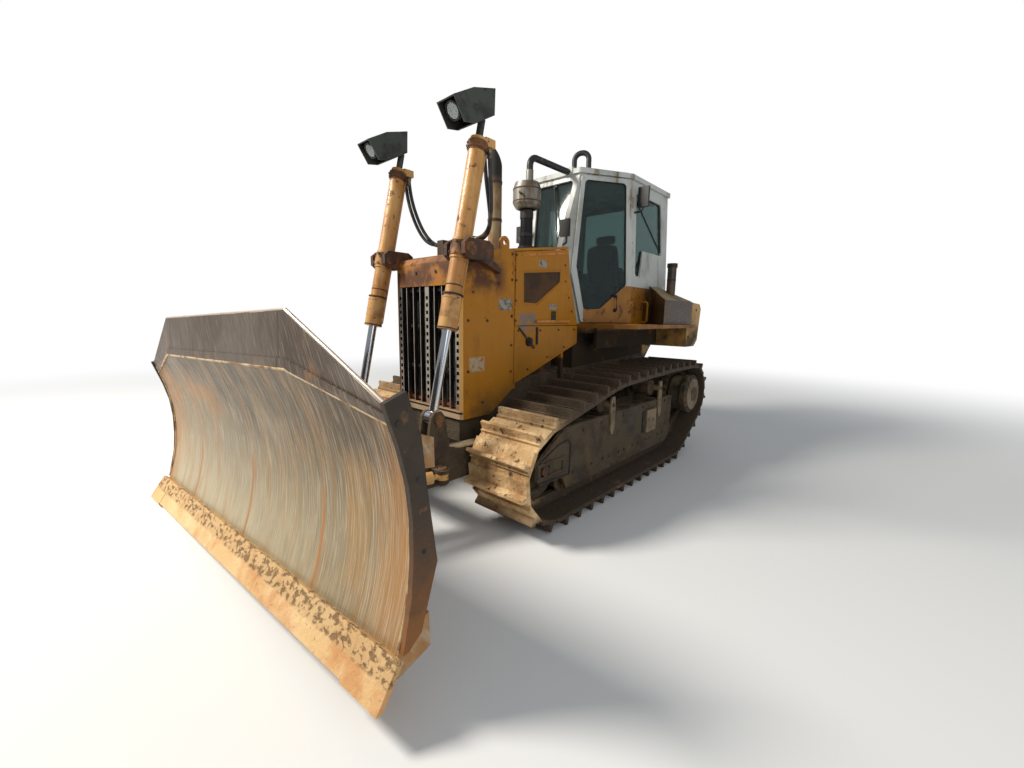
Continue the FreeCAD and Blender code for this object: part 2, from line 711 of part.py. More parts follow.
def engine_door():
    top_front = hood_z(GUARD_REAR - 14) - HOOD_FLANGE - PANEL_GAP
    top_rear = hood_z(HOOD_REAR_X) - HOOD_FLANGE - PANEL_GAP
    panel = side_plate((
        (GUARD_REAR - 14, DOOR_SPLIT_Z + PANEL_GAP), (GUARD_REAR - 14, top_front), (HOOD_REAR_X, top_rear),
        (HOOD_REAR_X - 40, 2085), (SKIRT_REAR_X, DOOR_SPLIT_Z + PANEL_GAP),
    ), GUARD_HALF - DOOR_SHEET, GUARD_HALF)
    vent = side_plate(((289, 2072), (-289, 2130), (-286, 1998), (85, 1764), (280, 1771)),
                      GUARD_HALF - 6, GUARD_HALF + 1)
    return union([panel.cut(vent)] + engine_hinge(True))


def engine():
    rear, front = -380, HULL_STEP_X - 20
    return side_plate(((rear, hull_top(rear) + FIT), (rear, ENGINE_TOP), (front, ENGINE_TOP),
                       (front, hull_top(front) + FIT)), -300, 300)


def exhaust():
    x, y = EXHAUST
    stack = rod(V(x, y, ENGINE_TOP + FIT), V(x, y, EXHAUST_TOP), EXHAUST_R)
    low = EXHAUST_TOP - EXHAUST_SLASH
    fall = 10 * EXHAUST_SLASH / (2 * EXHAUST_R)
    slant = ((x + EXHAUST_R + 10, EXHAUST_TOP + fall), (x - EXHAUST_R - 10, low - fall),
             (x - EXHAUST_R - 10, EXHAUST_TOP + fall))
    bevel = side_plate(slant, y - 2 * EXHAUST_R, y + 2 * EXHAUST_R)
    bore = rod(V(x, y, low - 250), V(x, y, EXHAUST_TOP + 1), EXHAUST_R - EXHAUST_WALL)
    return stack.cut(bevel).cut(bore)


def precleaner():
    at = V(CLEANER[0], CLEANER[1], 0)
    profile = (
        (0, ENGINE_TOP + FIT), (STEM_R, ENGINE_TOP + FIT), (STEM_R, 2700), (110, 2715), (139, 2760),
        (139, 2900), (120, 2955), (0, 2965),
    )
    bowl = face([V(at.x + r, at.y, z) for r, z in profile]).revolve(at, Z_AXIS, 360)
    stub = rod(V(CLEANER_STUB_X, at.y, 2940), V(CLEANER_STUB_X, at.y, CLEANER_TOP), 36)
    return union([bowl, stub])


# Cab

def cab_plane_y(x, z):
    """Half width of the door plane at a point of the side view."""
    b0 = V(CAB_PILLAR_X[0], CAB_PILLAR_Y[0], CAB_FLOOR)
    b1 = V(CAB_PILLAR_X[1], CAB_PILLAR_Y[1], CAB_EAVES)
    a1 = V(CAB_FRONT_X[2], CAB_FRONT_Y, CAB_EAVES)
    n = (b1 - b0).cross(a1 - b0)
    return b0.y - (n.x * (x - b0.x) + n.z * (z - b0.z)) / n.y


A_LOW = V(CAB_FRONT_X[0], cab_plane_y(CAB_FRONT_X[0], CAB_FLOOR), CAB_FLOOR)
A_MID = V(CAB_FRONT_X[1], cab_plane_y(CAB_FRONT_X[1], CAB_WAIST), CAB_WAIST)
A_TOP = V(CAB_FRONT_X[2], CAB_FRONT_Y, CAB_EAVES)
B_LOW = V(CAB_PILLAR_X[0], CAB_PILLAR_Y[0], CAB_FLOOR)
B_TOP = V(CAB_PILLAR_X[1], CAB_PILLAR_Y[1], CAB_EAVES)
R_LOW = V(CAB_REAR_X[0], CAB_PILLAR_Y[0], CAB_FLOOR)
R_TOP = V(CAB_REAR_X[1], CAB_PILLAR_Y[1], CAB_EAVES)


def cab_z(share):
    return CAB_FLOOR + share * (CAB_EAVES - CAB_FLOOR)


def on_door_plane(outline):
    return [V(x, cab_plane_y(x, cab_z(share)), cab_z(share)) for x, share in outline]


def side_plane_y(z):
    share = (z - CAB_FLOOR) / (CAB_EAVES - CAB_FLOOR)
    return CAB_PILLAR_Y[0] + share * (CAB_PILLAR_Y[1] - CAB_PILLAR_Y[0])


def opposite(p):
    return V(p.x, -p.y, p.z)


def inward(points):
    n = (points[1] - points[0]).cross(points[2] - points[0])
    n.normalize()
    middle = V(-1400, 0, 2400)
    return n if n.dot(middle - points[0]) > 0 else n * -1


def window(points, border, radius):
    """Opening inside a wall's outline: border wide, with rounded corners."""
    shrunk = face(points).makeOffset2D(-(border + radius), 2)
    return shrunk.makeOffset2D(radius, 0)


def as_face(shape):
    return shape if isinstance(shape, Part.Face) else Part.Face(shape.Wires[0])


def pane(opening, normal, depth):
    small = as_face(opening.makeOffset2D(-FIT, 0))
    small.translate(normal * depth)
    return small.extrude(normal * GLASS)


WALLS = {
    # name: outline, border of its window, closed below this height
    "front": ([A_MID, A_TOP, opposite(A_TOP), opposite(A_MID)], CAB_POST),
    "side": ([B_LOW, B_TOP, R_TOP, R_LOW], CAB_POST),
    "rear": ([R_LOW, R_TOP, opposite(R_TOP), opposite(R_LOW)], CAB_POST),
    "door": ([A_LOW, A_MID, A_TOP, B_TOP, B_LOW], CAB_POST),
}


def upper(points, z):
    """The part of a four-sided wall above a height."""
    low_a, top_a, top_b, low_b = points
    share_a = (z - low_a.z) / (top_a.z - low_a.z)
    share_b = (z - low_b.z) / (top_b.z - low_b.z)
    return [low_a + (top_a - low_a) * share_a, top_a, top_b, low_b + (top_b - low_b) * share_b]


def cab():
    """Frame with its windows cut, and the panes that fill them."""
    walls = []
    panes = []
    low_front = [A_LOW, A_MID, opposite(A_MID), opposite(A_LOW)]
    walls.append(face(low_front).extrude(inward(low_front) * CAB_WALL))
    openings = (
        (WALLS["front"][0], WALLS["front"][0]),
        (WALLS["side"][0], [V(x, side_plane_y(cab_z(share)), cab_z(share)) for x, share in SIDE_WINDOW]),
        (WALLS["rear"][0], upper(WALLS["rear"][0], CAB_WAIST - 10)),
    )
    for outline, glazed in openings:
        normal = inward(outline)
        border = 0 if outline is WALLS["side"][0] else CAB_POST
        hole = as_face(window(glazed, border, CAB_CORNER_R))
        through = hole.copy()
        through.translate(normal * -5)
        wall = face(outline).extrude(normal * CAB_WALL).cut(through.extrude(normal * (CAB_WALL + 40)))
        walls.append(wall)
        panes.append(pane(hole, normal, CAB_WALL / 2))
        if outline is WALLS["side"][0]:
            walls.append(mirrored(wall))
            panes.append(mirrored(panes[-1]))
    doorway = WALLS["door"][0]
    normal = inward(doorway)
    hole = as_face(window(on_door_plane(DOOR_LEAF), DOOR_LAP, CAB_CORNER_R))
    hole.translate(normal * -5)
    wall = face(doorway).extrude(normal * CAB_WALL).cut(hole.extrude(normal * (CAB_WALL + 40)))
    walls.append(wall)
    walls.append(mirrored(wall))
    above = box(-3000, 0, -1000, 1000, CAB_EAVES, CAB_EAVES + 300)
    under = box(-3000, 0, -1000, 1000, CAB_FLOOR - 300, CAB_FLOOR)
    knuckles = cab_hinge(False)
    return union(walls + knuckles + [mirrored(k) for k in knuckles]).cut(above).cut(under), panes


CAB_HINGES = (0.16, 0.84)


def cab_hinge(on_door):
    """Door hinges up the door pillar, laid out in the door's own plane and then set on the pillar."""
    up = B_TOP - B_LOW
    rise = up.Length
    up.normalize()
    out = inward(WALLS["door"][0]) * -1
    ahead = out.cross(up)
    spin = FreeCAD.Placement(B_LOW, FreeCAD.Rotation(ahead, out, up))
    face_out = PANEL_GAP + CAB_DOOR_SHEET
    pieces = []
    for share in CAB_HINGES:
        mid = rise * share
        if on_door:
            knuckle = Part.makeCylinder(11, 50, V(2, face_out, mid - 25))
            tab = box(2, 60, face_out - 3, face_out + 7, mid - 25, mid + 25)
            hole = Part.makeCylinder(6 + FIT, 60, V(2, face_out, mid - 30))
            pieces.append(union([knuckle, tab]).cut(hole))
        else:
            pieces.append(Part.makeCylinder(6, 112, V(2, face_out, mid - 56)))
            for low in (mid - 56, mid + 26):
                pieces.append(Part.makeCylinder(11, 30, V(2, face_out, low)))
                pieces.append(box(-9, 8, -8, face_out, low, low + 30))
    for piece in pieces:
        piece.Placement = spin
    return pieces


def cab_door():
    """Overlay door on the angled face, hinged up the door pillar, and its pane."""
    normal = inward(WALLS["door"][0])
    skin = as_face(window(on_door_plane(DOOR_LEAF), 0, 30))
    hole = as_face(window(on_door_plane(DOOR_WINDOW), 0, CAB_CORNER_R))
    start = normal * -(PANEL_GAP + CAB_DOOR_SHEET)
    glass = pane(hole, normal, -(PANEL_GAP + CAB_DOOR_SHEET / 2))
    skin.translate(start)
    hole.translate(start - normal)
    leaf = skin.extrude(normal * CAB_DOOR_SHEET).cut(hole.extrude(normal * (CAB_DOOR_SHEET + 4)))
    return union([leaf] + cab_hinge(True)), glass


def cab_roof():
    plan = [A_TOP, B_TOP, R_TOP, opposite(R_TOP), opposite(B_TOP), opposite(A_TOP)]
    low = [V(p.x, p.y, CAB_EAVES + FIT) for p in plan]
    slab = face(low).makeOffset2D(28, 0)
    cap = face(low).makeOffset2D(-40, 2)
    slab = as_face(slab)
    cap = as_face(cap)
    cap.translate(V(0, 0, 50))
    slab = slab.extrude(V(0, 0, 50))
    cap = cap.extrude(V(0, 0, CAB_ROOF - CAB_EAVES - 51))
    socket = box(DUCT_END.x - 60, DUCT_END.x, DUCT_END.y - 55, DUCT_END.y + 55, CAB_EAVES + FIT, CAB_ROOF - 6)
    return union([slab, cap, socket])


def ducts():
    """Pipe from the air cleaner to the roof, and the arch that stands on the roof's front."""
    start = V(CLEANER_STUB_X, CLEANER[1], CLEANER_TOP)
    corner = V(start.x, start.y, DUCT_END.z)
    near = V(-873, 168, CAB_ROOF)
    far = V(-927, 320, CAB_ROOF)
    rise = V(0, 0, 172)
    pipe = tube([start, corner, DUCT_END], 32, 90).cut(cab_roof())
    return [pipe, tube([near, near + rise, far + rise, far], 28, 74)]


def mirror_set(frame):
    """Two mirrors of the left side: ahead of the front post and beside the door pillar."""
    top = CAB_EAVES - 510
    foot = top - 240
    arm_end = cab_plane_y(-640, foot) - 35
    ahead = box(-556, -524, 248, 368, top - 178, top)
    ahead_arm = tube([V(-545, 330, top - 170), V(-545, 330, foot), V(-640, arm_end, foot)], 11, 22)
    top = CAB_EAVES - 78
    foot = top - 262
    beside = box(-1418, -1384, 690, 816, top - 216, top)
    arm_end = side_plane_y(foot) - 25
    beside_arm = tube([V(-1400, 750, top - 212), V(-1400, 750, foot), V(-1400, arm_end, foot)], 11, 22)
    return [union([ahead, ahead_arm]).cut(frame), union([beside, beside_arm]).cut(frame)]


def handrail(frame):
    low = CAB_FLOOR + 18
    high = CAB_FLOOR + 263
    out = 768
    x = -1640
    start = V(x, side_plane_y(high) - 4, high)
    end = V(x, side_plane_y(low) - 4, low)
    return tube([start, V(x, out, high), V(x, out, low), end], 14, 30).cut(frame)


def cab_base():
    """Yellow box between the deck and the hull, floor of the cab."""
    rear = CAB_REAR_X[0]
    floor = flat_plate(((-600, -420), (-1366, -700), (rear, -700), (rear, 700), (-1366, 700), (-600, 420)),
                       CAB_FLOOR - 41, CAB_FLOOR - FIT)
    riser = side_plate(((-2300, hull_top(-2300) + FIT), (-2300, CAB_FLOOR - 41), (-640, CAB_FLOOR - 41),
                        (-640, hull_top(-640) + FIT)), -395, 395)
    return union([floor, riser])


def seat():
    base = box(-1780, -1420, -200, 200, CAB_FLOOR, 1960)
    cushion = box(-1840, -1330, -250, 250, 1960, 2080)
    head = CAB_EAVES - 470
    back = side_plate(((-1840, 2080), (-1740, 2080), (-1840, head), (-1940, head)), -240, 240)
    arms = [box(-1800, -1380, y - 45, y + 45, 2230, ARM_REST_Z) for y in (-310, 310)]
    posts = [box(-1780, -1700, y - 30, y + 30, 2000, 2230) for y in (-280, 280)]
    return union([base, cushion, back] + posts + arms)


def console():
    dash = box(-900, -760, -250, 250, CAB_FLOOR, 2240)
    sticks = []
    for y in (-310, 310):
        stick = rod(V(-1430, y, ARM_REST_Z + FIT), V(-1430, y, 2440), 14)
        sticks.append(union([stick, Part.makeSphere(34, V(-1430, y, 2460))]))
    return [dash] + sticks


# Deck and tanks

def deck():
    front = SKIRT_REAR_X - 10
    slope = (700 - 420) / (1366 - 600)
    plate = flat_plate(((front, 420.5 - slope * (front + 600)), (front, 900), (front - 90, DECK_HALF),
                        (HULL_REAR, DECK_HALF), (HULL_REAR, 700.5), (-1366, 700.5)),
                       DECK_TOP - DECK_SHEET, DECK_TOP)
    skirt_plate = box(HULL_REAR, -800, 560, 600, 1320, DECK_TOP - DECK_SHEET)
    link = box(HULL_REAR, -640, 395, 560, DECK_TOP - DECK_SHEET - 60, DECK_TOP - DECK_SHEET)
    return union([plate, skirt_plate, link])


def side_tank():
    foot = DECK_TOP + FIT
    plan = flat_plate(((-1703, 745), (-1703, 780), (-1480, 1050), (HULL_REAR, 1050), (HULL_REAR, 745)),
                      foot, 2100)
    across = face([V(HULL_REAR - 1, y, z) for y, z in
                   ((700, foot), (1060, foot), (1060, 1864), (780, 2025), (700, 2070))]).extrude(V(900, 0, 0))
    length = side_plate(((-1400, foot), (-1400, 2045), (-1950, 2045), (HULL_REAR, 1885), (HULL_REAR, foot)),
                        700, 1060)
    neck = rod(V(-2000, 890, 1900), V(-2000, 890, 2290), 52)
    lid = rod(V(-2000, 890, 2280), V(-2000, 890, 2328), 60)
    return union([plan.common(across).common(length), neck, lid])


def fuel_tank():
    front = HULL_REAR - FIT
    upper_part = side_plate(((front, TANK_BOTTOM), (front, TANK_TOP), (TANK_REAR + 60, TANK_TOP - 20),
                             (TANK_REAR, TANK_TOP - 80), (TANK_REAR + 60, TANK_BOTTOM + 80),
                             (TANK_REAR + 160, TANK_BOTTOM)), -TANK_HALF, TANK_HALF)
    saddle = side_plate(((front, 1010), (front, TANK_BOTTOM + 1), (TANK_REAR + 160, TANK_BOTTOM + 1)),
                        -HULL_HALF, HULL_HALF)
    return union([upper_part, saddle])


def drawbar():
    body = box(HULL_REAR - 300, HULL_REAR, -140, 140, 520, 700)
    slot = box(HULL_REAR - 310, HULL_REAR - 110, -150, 150, 575, 645)
    eye = rod(V(HULL_REAR - 230, 0, 500), V(HULL_REAR - 230, 0, 720), 32)
    return body.cut(slot).cut(eye)


# Lift cylinders

def along(start, end, distance):
    direction = end - start
    direction.normalize()
    return start + direction * distance


def barrel(start, end, radius, bore_r, rod_r):
    """Tube closed at its start, with a thicker gland at its end."""
    down = end - start
    down.normalize()
    body = rod(start, end, radius)
    gland = rod(end - down * radius * 1.4, end, radius * 1.18)
    bore = rod(start + down * radius, end - down * radius, bore_r)
    neck = rod(end - down * (radius + 1), end + down, rod_r + FIT)
    return [body, gland], [bore, neck]


def piston_rod(eye, toward, length, bore_r, rod_r, eye_r, eye_width, pin_r, axis):
    """Rod from its eye back into the barrel, with its piston and the middle of its pin."""
    back = toward - eye
    back.normalize()
    head = eye + back * length
    shaft = rod(head, eye + back * eye_r * 0.6, rod_r)
    piston = rod(head, head - back * bore_r, bore_r - FIT)
    ring = rod(eye - axis * eye_width / 2, eye + axis * eye_width / 2, eye_r)
    pin = rod(eye - axis * (eye_width / 2 + 3), eye + axis * (eye_width / 2 + 3), pin_r)
    return union([shaft, piston, ring, pin])


def barrel_down():
    down = ROD_EYE - GIMBAL
    down.normalize()
    return down


def port_block():
    """Block behind the top of a lift barrel that its two hoses screw into."""
    top = GIMBAL - barrel_down() * BARREL_ABOVE
    return box(PORT_X - 32, top.x - 20, GIMBAL.y - 62, GIMBAL.y + 62, PORT_Z, PORT_Z + 60)


def lift_barrel():
    down = barrel_down()
    top = GIMBAL - down * BARREL_ABOVE
    end = GIMBAL + down * BARREL_BELOW
    solids, hollows = barrel(top, end, BARREL_R, BARREL_BORE, ROD_R)
    collar = rod(GIMBAL - down * 75, GIMBAL + down * 75, BARREL_R + 8)
    stubs = rod(GIMBAL - Y_AXIS * 118, GIMBAL + Y_AXIS * 118, STUB_R)
    clamp = rod(top + down * 30, top + down * 84, BARREL_R + 12)
    ports = port_block()
    back = V(down.z, 0, -down.x)
    pipe_line = back * (BARREL_R + 20)
    pipe = rod(top + down * 60 + pipe_line, end - down * 40 + pipe_line, PIPE_R)
    tied = (end - down * 40, GIMBAL + down * 330, GIMBAL - down * 330)
    ties = [rod(p, p + pipe_line, PIPE_R + 2) for p in tied]
    return union(solids + [collar, stubs, clamp, ports, pipe] + ties).cut(hollows[0]).cut(hollows[1])


def lift_rod():
    return piston_rod(ROD_EYE, GIMBAL, LIFT_ROD, BARREL_BORE, ROD_R, EYE_R, EYE_WIDTH, PIN_R, Y_AXIS)


def small_barrel(base, eye, length, axis):
    toward = eye - base
    toward.normalize()
    start = SMALL_EYE_R + 32
    solids, hollows = barrel(base + toward * start, base + toward * length, SMALL_BARREL_R, SMALL_BORE,
                             SMALL_ROD_R)
    eye_ring = rod(base - axis * SMALL_EYE_WIDTH / 2, base + axis * SMALL_EYE_WIDTH / 2, SMALL_EYE_R)
    link = rod(base, base + toward * (start + 5), SMALL_EYE_WIDTH / 2 - 2)
    hole = rod(base - axis * 60, base + axis * 60, SMALL_PIN_R + FIT)
    return union(solids + [eye_ring, link]).cut(hollows[0]).cut(hollows[1]).cut(hole)


def small_rod(base, eye, length, axis):
    return piston_rod(eye, base, length, SMALL_BORE, SMALL_ROD_R, SMALL_EYE_R, SMALL_EYE_WIDTH,
                      SMALL_PIN_R, axis)


def base_fork(base, reach, width, axis):
    """Two ears either side of a barrel's eye, with the pin that they hold, along a cross axis."""
    inner = SMALL_EYE_WIDTH / 2 + EAR_GAP
    pieces = [rod(base - axis * (inner + EAR + 6), base + axis * (inner + EAR + 6), SMALL_PIN_R)]
    for side in (-1, 1):
        near = base + axis * side * inner
        pieces.append(Part.makeCylinder(width / 2, EAR, near, axis * side))
        centre = near + axis * side * EAR / 2 + reach / 2
        size = V(abs(reach.x), abs(reach.y), abs(reach.z))
        across = V(1, 1, 1) - V(abs(axis.x), abs(axis.y), abs(axis.z))
        flat = V(
            size.x if size.x else width * across.x + EAR * abs(axis.x),
            size.y if size.y else width * across.y + EAR * abs(axis.y),
            size.z if size.z else width * across.z + EAR * abs(axis.z),
        )
        pieces.append(Part.makeBox(flat.x, flat.y, flat.z, centre - flat * 0.5))
    return pieces


def cylinder_bracket():
    """Yoke of one lift cylinder: two arms on a block, with a gusset back along the guard's side."""
    low = GIMBAL.z - YOKE_HALF_HEIGHT
    high = GIMBAL.z + YOKE_HALF_HEIGHT
    back = GIMBAL.x - YOKE_BACK
    block = side_plate(((back - 105, low + 20), (back - 105, high - 30), (back - 60, high), (back, high),
                        (back, low), (back - 40, low)), GIMBAL.y - YOKE_OUTER, GIMBAL.y + YOKE_OUTER)
    gusset = side_plate(((GUSSET_X, low - 62), (GUSSET_X, low - 14), (back - 104, high - 40),
                         (back - 104, low + 20)), GUARD_HALF, GUARD_HALF + 62)
    arms = []
    for side in (-1, 1):
        y0 = GIMBAL.y + side * YOKE_OUTER
        y1 = GIMBAL.y + side * YOKE_INNER
        nose = GIMBAL.x + 64
        arm = side_plate(((back - 5, low), (back - 5, high), (nose - 44, high), (nose, high - 35),
                          (nose, low + 35), (nose - 44, low)), min(y0, y1), max(y0, y1))
        arms.append(arm.cut(rod(GIMBAL - Y_AXIS * 130, GIMBAL + Y_AXIS * 130, STUB_R + FIT)))
    return union([block, gusset] + arms).cut(guard_body())


def hose_block():
    """Block on top of the radiator guard where a lift cylinder's two hoses end."""
    block = box(HOSE_ENDS[0] - 34, HOSE_ENDS[1] + 34, HOSE_END_Y - 85, HOSE_END_Y, 2150, HOSE_END_Z + 30)
    return block.cut(guard_body())


def guard_body():
    return side_plate(guard_profile(0), -GUARD_HALF, GUARD_HALF)


def lamp_box():
    """Visor of bent sheet, open at its mouth, with its lamp on a stem and its post on the barrel."""
    y0, y1 = LAMP_Y
    shell = side_plate(LAMP_OUTLINE, y0, y1)
    inner = face([V(x, y0 + LAMP_SHEET, z) for x, z in LAMP_OUTLINE]).makeOffset2D(-LAMP_SHEET, 2)
    hollow = as_face(inner).extrude(V(0, y1 - y0 - 2 * LAMP_SHEET, 0))
    mouth = hollow.copy()
    mouth.translate(LAMP_WAY * 3 * LAMP_SHEET)
    lens = LAMP_MOUTH - LAMP_WAY * 30
    rear = LAMP_MOUTH - LAMP_WAY * 95
    lamp = rod(rear, lens, LAMP_R)
    stem = rod(rear + LAMP_WAY * 5, rear + V(-138, 0, -56), 14)
    down = barrel_down()
    top = GIMBAL - down * BARREL_ABOVE
    post = rod(top, top - down * 150, 28).cut(port_block())
    return union([shell.cut(hollow).cut(mouth), lamp, stem, post])


# Push frame, carrier and blade

def push_frame():
    half = ARM_HEIGHT / 2
    arm_points = (
        (ARM_PIVOT.x, ARM_PIVOT.z - half), (ARM_PIVOT.x - 80, ARM_PIVOT.z - 60),
        (ARM_PIVOT.x - 80, ARM_PIVOT.z + 60), (ARM_PIVOT.x, ARM_PIVOT.z + half), (200, 600),
        (CORNER_X + 120, NOSE_TOP), (CORNER_X + 120, 380), (200, 390),
    )
    pin_hole = rod(V(ARM_PIVOT.x, 300, ARM_PIVOT.z), V(ARM_PIVOT.x, 700, ARM_PIVOT.z), 60 + FIT)
    arm = side_plate(arm_points, ARM_INNER, ARM_OUTER).cut(pin_hole)
    leg = flat_plate(((CORNER_X + 60, ARM_OUTER), (CORNER_X + 60, ARM_INNER), (NOSE_X - 30, 60),
                      (NOSE_X - 30, 190), (CORNER_X + 180, ARM_OUTER)), 380, NOSE_TOP)
    reach = V(0, ARM_OUTER - ANGLE_BASE.y - 1, 0)
    forks = base_fork(ANGLE_BASE, reach, 100, Z_AXIS)
    beam = box(CORNER_X + 60, CORNER_X + 200, -ARM_INNER, ARM_INNER, 400, 600)
    ears = []
    for side in (-1, 1):
        y0 = ROD_EYE.y + side * (EYE_WIDTH / 2 + 8)
        y1 = y0 + side * 30
        ears.append(side_plate((
            (ROD_EYE.x - 110, NOSE_TOP - 10), (ROD_EYE.x - 62, ROD_EYE.z + 20),
            (ROD_EYE.x - 30, ROD_EYE.z + 60), (ROD_EYE.x + 30, ROD_EYE.z + 60),
            (ROD_EYE.x + 62, ROD_EYE.z + 20), (ROD_EYE.x + 110, NOSE_TOP - 10),
        ), min(y0, y1), max(y0, y1)))
    pad = box(ROD_EYE.x - 110, ROD_EYE.x + 110, ROD_EYE.y - 72, ARM_OUTER, NOSE_TOP - 90, NOSE_TOP)
    ears.append(pad)
    hub = Part.makeCylinder(NOSE_R + 60, NOSE_TOP - 330, V(NOSE_X, 0, 330))
    nose = box(NOSE_X - 260, NOSE_X, -130, 130, 330, NOSE_TOP)
    whole = union([arm, mirrored(arm), leg, mirrored(leg), beam, nose, hub] + ears + forks
                  + [mirrored(e) for e in ears + forks])
    gap = Part.makeCylinder(NOSE_R + 187, 200, V(NOSE_X, 0, 390))
    clear = box(NOSE_X + 10, NOSE_X + 300, -400, 400, 300, 700)
    bore = Part.makeCylinder(46 + FIT, 400, V(NOSE_X, 0, 300))
    return whole.cut(gap).cut(clear).cut(bore)


def place_carrier(shape):
    shape.rotate(V(NOSE_X, 0, 0), Z_AXIS, BLADE_ANGLE)
    return shape


def place_blade(shape):
    shape.rotate(V(NOSE_X, 0, TILT_PIVOT_Z), X_AXIS, BLADE_TILT)
    return place_carrier(shape)


def blade_carrier():
    spindle = Part.makeCylinder(46, 320, V(NOSE_X, 0, 325))
    knuckle = Part.makeCylinder(NOSE_R, 188, V(NOSE_X, 0, 396))
    crosshead = box(CROSSHEAD_X, CROSSHEAD_X + 64, -CROSSHEAD_HALF, CROSSHEAD_HALF, 430, 550)
    neck = box(NOSE_X, CROSSHEAD_X + 64, -70, 70, 396, 584)
    trunnion = rod(V(CROSSHEAD_X + 60, 0, TILT_PIVOT_Z), V(NOSE_X + 150, 0, TILT_PIVOT_Z), 50)
    ears = []
    inner = SMALL_EYE_WIDTH / 2 + EAR_GAP
    for side in (-1, 1):
        for level in (-1, 1):
            z = ANGLE_EYE.z + level * inner
            ears.append(flat_plate((
                (CROSSHEAD_X + 1, side * (ANGLE_EYE.y - 50)), (ANGLE_EYE.x - 40, side * (ANGLE_EYE.y - 35)),
                (ANGLE_EYE.x - 40, side * (ANGLE_EYE.y + 35)), (CROSSHEAD_X + 1, side * (ANGLE_EYE.y + 50)),
            ), min(z, z + level * EAR), max(z, z + level * EAR)))
    top = TILT_PIVOT_Z + TILT_ARM
    front = TILT_X + SMALL_EYE_WIDTH / 2 + EAR_GAP
    back = TILT_X - SMALL_EYE_WIDTH / 2 - EAR_GAP
    tower = box(front, front + EAR, -60, 60, 500, top)
    web = box(back - EAR, front + EAR, -60, 60, 665, top - 60)
    fork = base_fork(V(TILT_X, 0, top), V(0, 0, -100), 90, X_AXIS)
    return union([spindle, knuckle, crosshead, neck, trunnion, tower, web] + ears + fork)


TILT_BASE = V(TILT_X, 0, TILT_PIVOT_Z + TILT_ARM)
TILT_EYE = V(TILT_X, -TILT_REACH, TILT_PIVOT_Z + TILT_ARM)


def turned_point(point, centre, axis, degrees):
    spin = FreeCAD.Rotation(axis, degrees)
    return centre + spin.multVec(point - centre)


def at_carrier(point):
    return turned_point(point, V(NOSE_X, 0, 0), Z_AXIS, BLADE_ANGLE)


def tilt_cylinder():
    eye = turned_point(TILT_EYE, V(NOSE_X, 0, TILT_PIVOT_Z), X_AXIS, BLADE_TILT)
    return (place_carrier(small_barrel(TILT_BASE, eye, TILT_BARREL, X_AXIS)),
            place_carrier(small_rod(TILT_BASE, eye, TILT_ROD, X_AXIS)))


def angle_cylinder(side):
    base = V(ANGLE_BASE.x, side * ANGLE_BASE.y, ANGLE_BASE.z)
    eye = at_carrier(V(ANGLE_EYE.x, side * ANGLE_EYE.y, ANGLE_EYE.z))
    return small_barrel(base, eye, ANGLE_BARREL, Z_AXIS), small_rod(base, eye, ANGLE_ROD, Z_AXIS)


def mould_line():
    """Concave front line of the moldboard from the cutting edge up past the spill guard's weld."""
    return Part.Arc(V(EDGE_BACK[0], 0, EDGE_BACK[1]), V(MOULD_DEEP[0], 0, MOULD_DEEP[1]),
                    V(MOULD_TOP_X, 0, WELD_MID_Z))


def front_x(z):
    circle = mould_line().toShape().Curve
    return circle.Center.x - math.sqrt(circle.Radius ** 2 - (z - circle.Center.z) ** 2)


def moldboard():
    front = mould_line().toShape()
    centre = front.Curve.Center
    radius = front.Curve.Radius
    grown = [
        centre + (front.valueAt(at) - centre) * ((radius + BLADE_SHEET) / radius)
        for at in (front.FirstParameter, (front.FirstParameter + front.LastParameter) / 2,
                   front.LastParameter)
    ]
    back = Part.Arc(*grown).toShape()
    first = Part.makeLine(front.Vertexes[0].Point, back.Vertexes[0].Point)
    last = Part.makeLine(back.Vertexes[-1].Point, front.Vertexes[-1].Point)
    wire = Part.Wire(Part.__sortEdges__([front, back, first, last]))
    sheet = Part.Face(wire).extrude(V(0, 2 * BLADE_HALF, 0))
    sheet.translate(V(0, -BLADE_HALF, 0))
    corner = [
        V(-600, 0, WELD_MID_Z), V(-600, GUARD_BEND_HALF, WELD_MID_Z), V(-600, BLADE_HALF, WELD_END_Z),
        V(-600, BLADE_HALF + 5, WELD_END_Z), V(-600, BLADE_HALF + 5, 2000), V(-600, 0, 2000),
    ]
    wedge = face(corner).extrude(V(900, 0, 0))
    sheet = sheet.cut(wedge).cut(mirrored(wedge))
    low = side_plate(((-34.5, 48), (-101, 142.5), (-118, 200), (-268, 250), (-268, 90), (-110, 48)),
                     -BLADE_HALF, BLADE_HALF)
    high = side_plate(((-190, 900), (-330, 880), (-330, 1010), (-170, 1060)), -BLADE_HALF, BLADE_HALF)
    centre_box = box(-275, -190, -420, 420, 200, 900)
    pivot_z = TILT_PIVOT_Z - BLADE_TIP_Z
    bore = rod(V(-400, 0, pivot_z), V(-215, 0, pivot_z), 50 + FIT)
    ribs = [side_plate(((-200, 240), (-268, 240), (-330, 900), (-200, 900)), y - 10, y + 10)
            for y in (-1200, -820, 820, 1200)]
    ear_z = pivot_z + TILT_ARM
    inner = SMALL_EYE_WIDTH / 2 + EAR_GAP
    ear_x = TILT_X - BLADE_TIP_X
    for side in (-1, 1):
        x = ear_x + side * inner
        ribs.append(box(min(x, x + side * EAR), max(x, x + side * EAR), -835, -TILT_REACH + 40,
                        ear_z - 50, ear_z + 50))
    ribs.append(box(ear_x - inner - EAR, -200, -835, -790, ear_z - 70, ear_z + 70))
    front_cut = Part.makeCylinder(radius, 2 * BLADE_HALF + 20, V(centre.x, -BLADE_HALF - 10, centre.z),
                                  Y_AXIS)
    body = union([low, high, centre_box] + ribs).cut(front_cut)
    return union([sheet, body]).cut(bore)


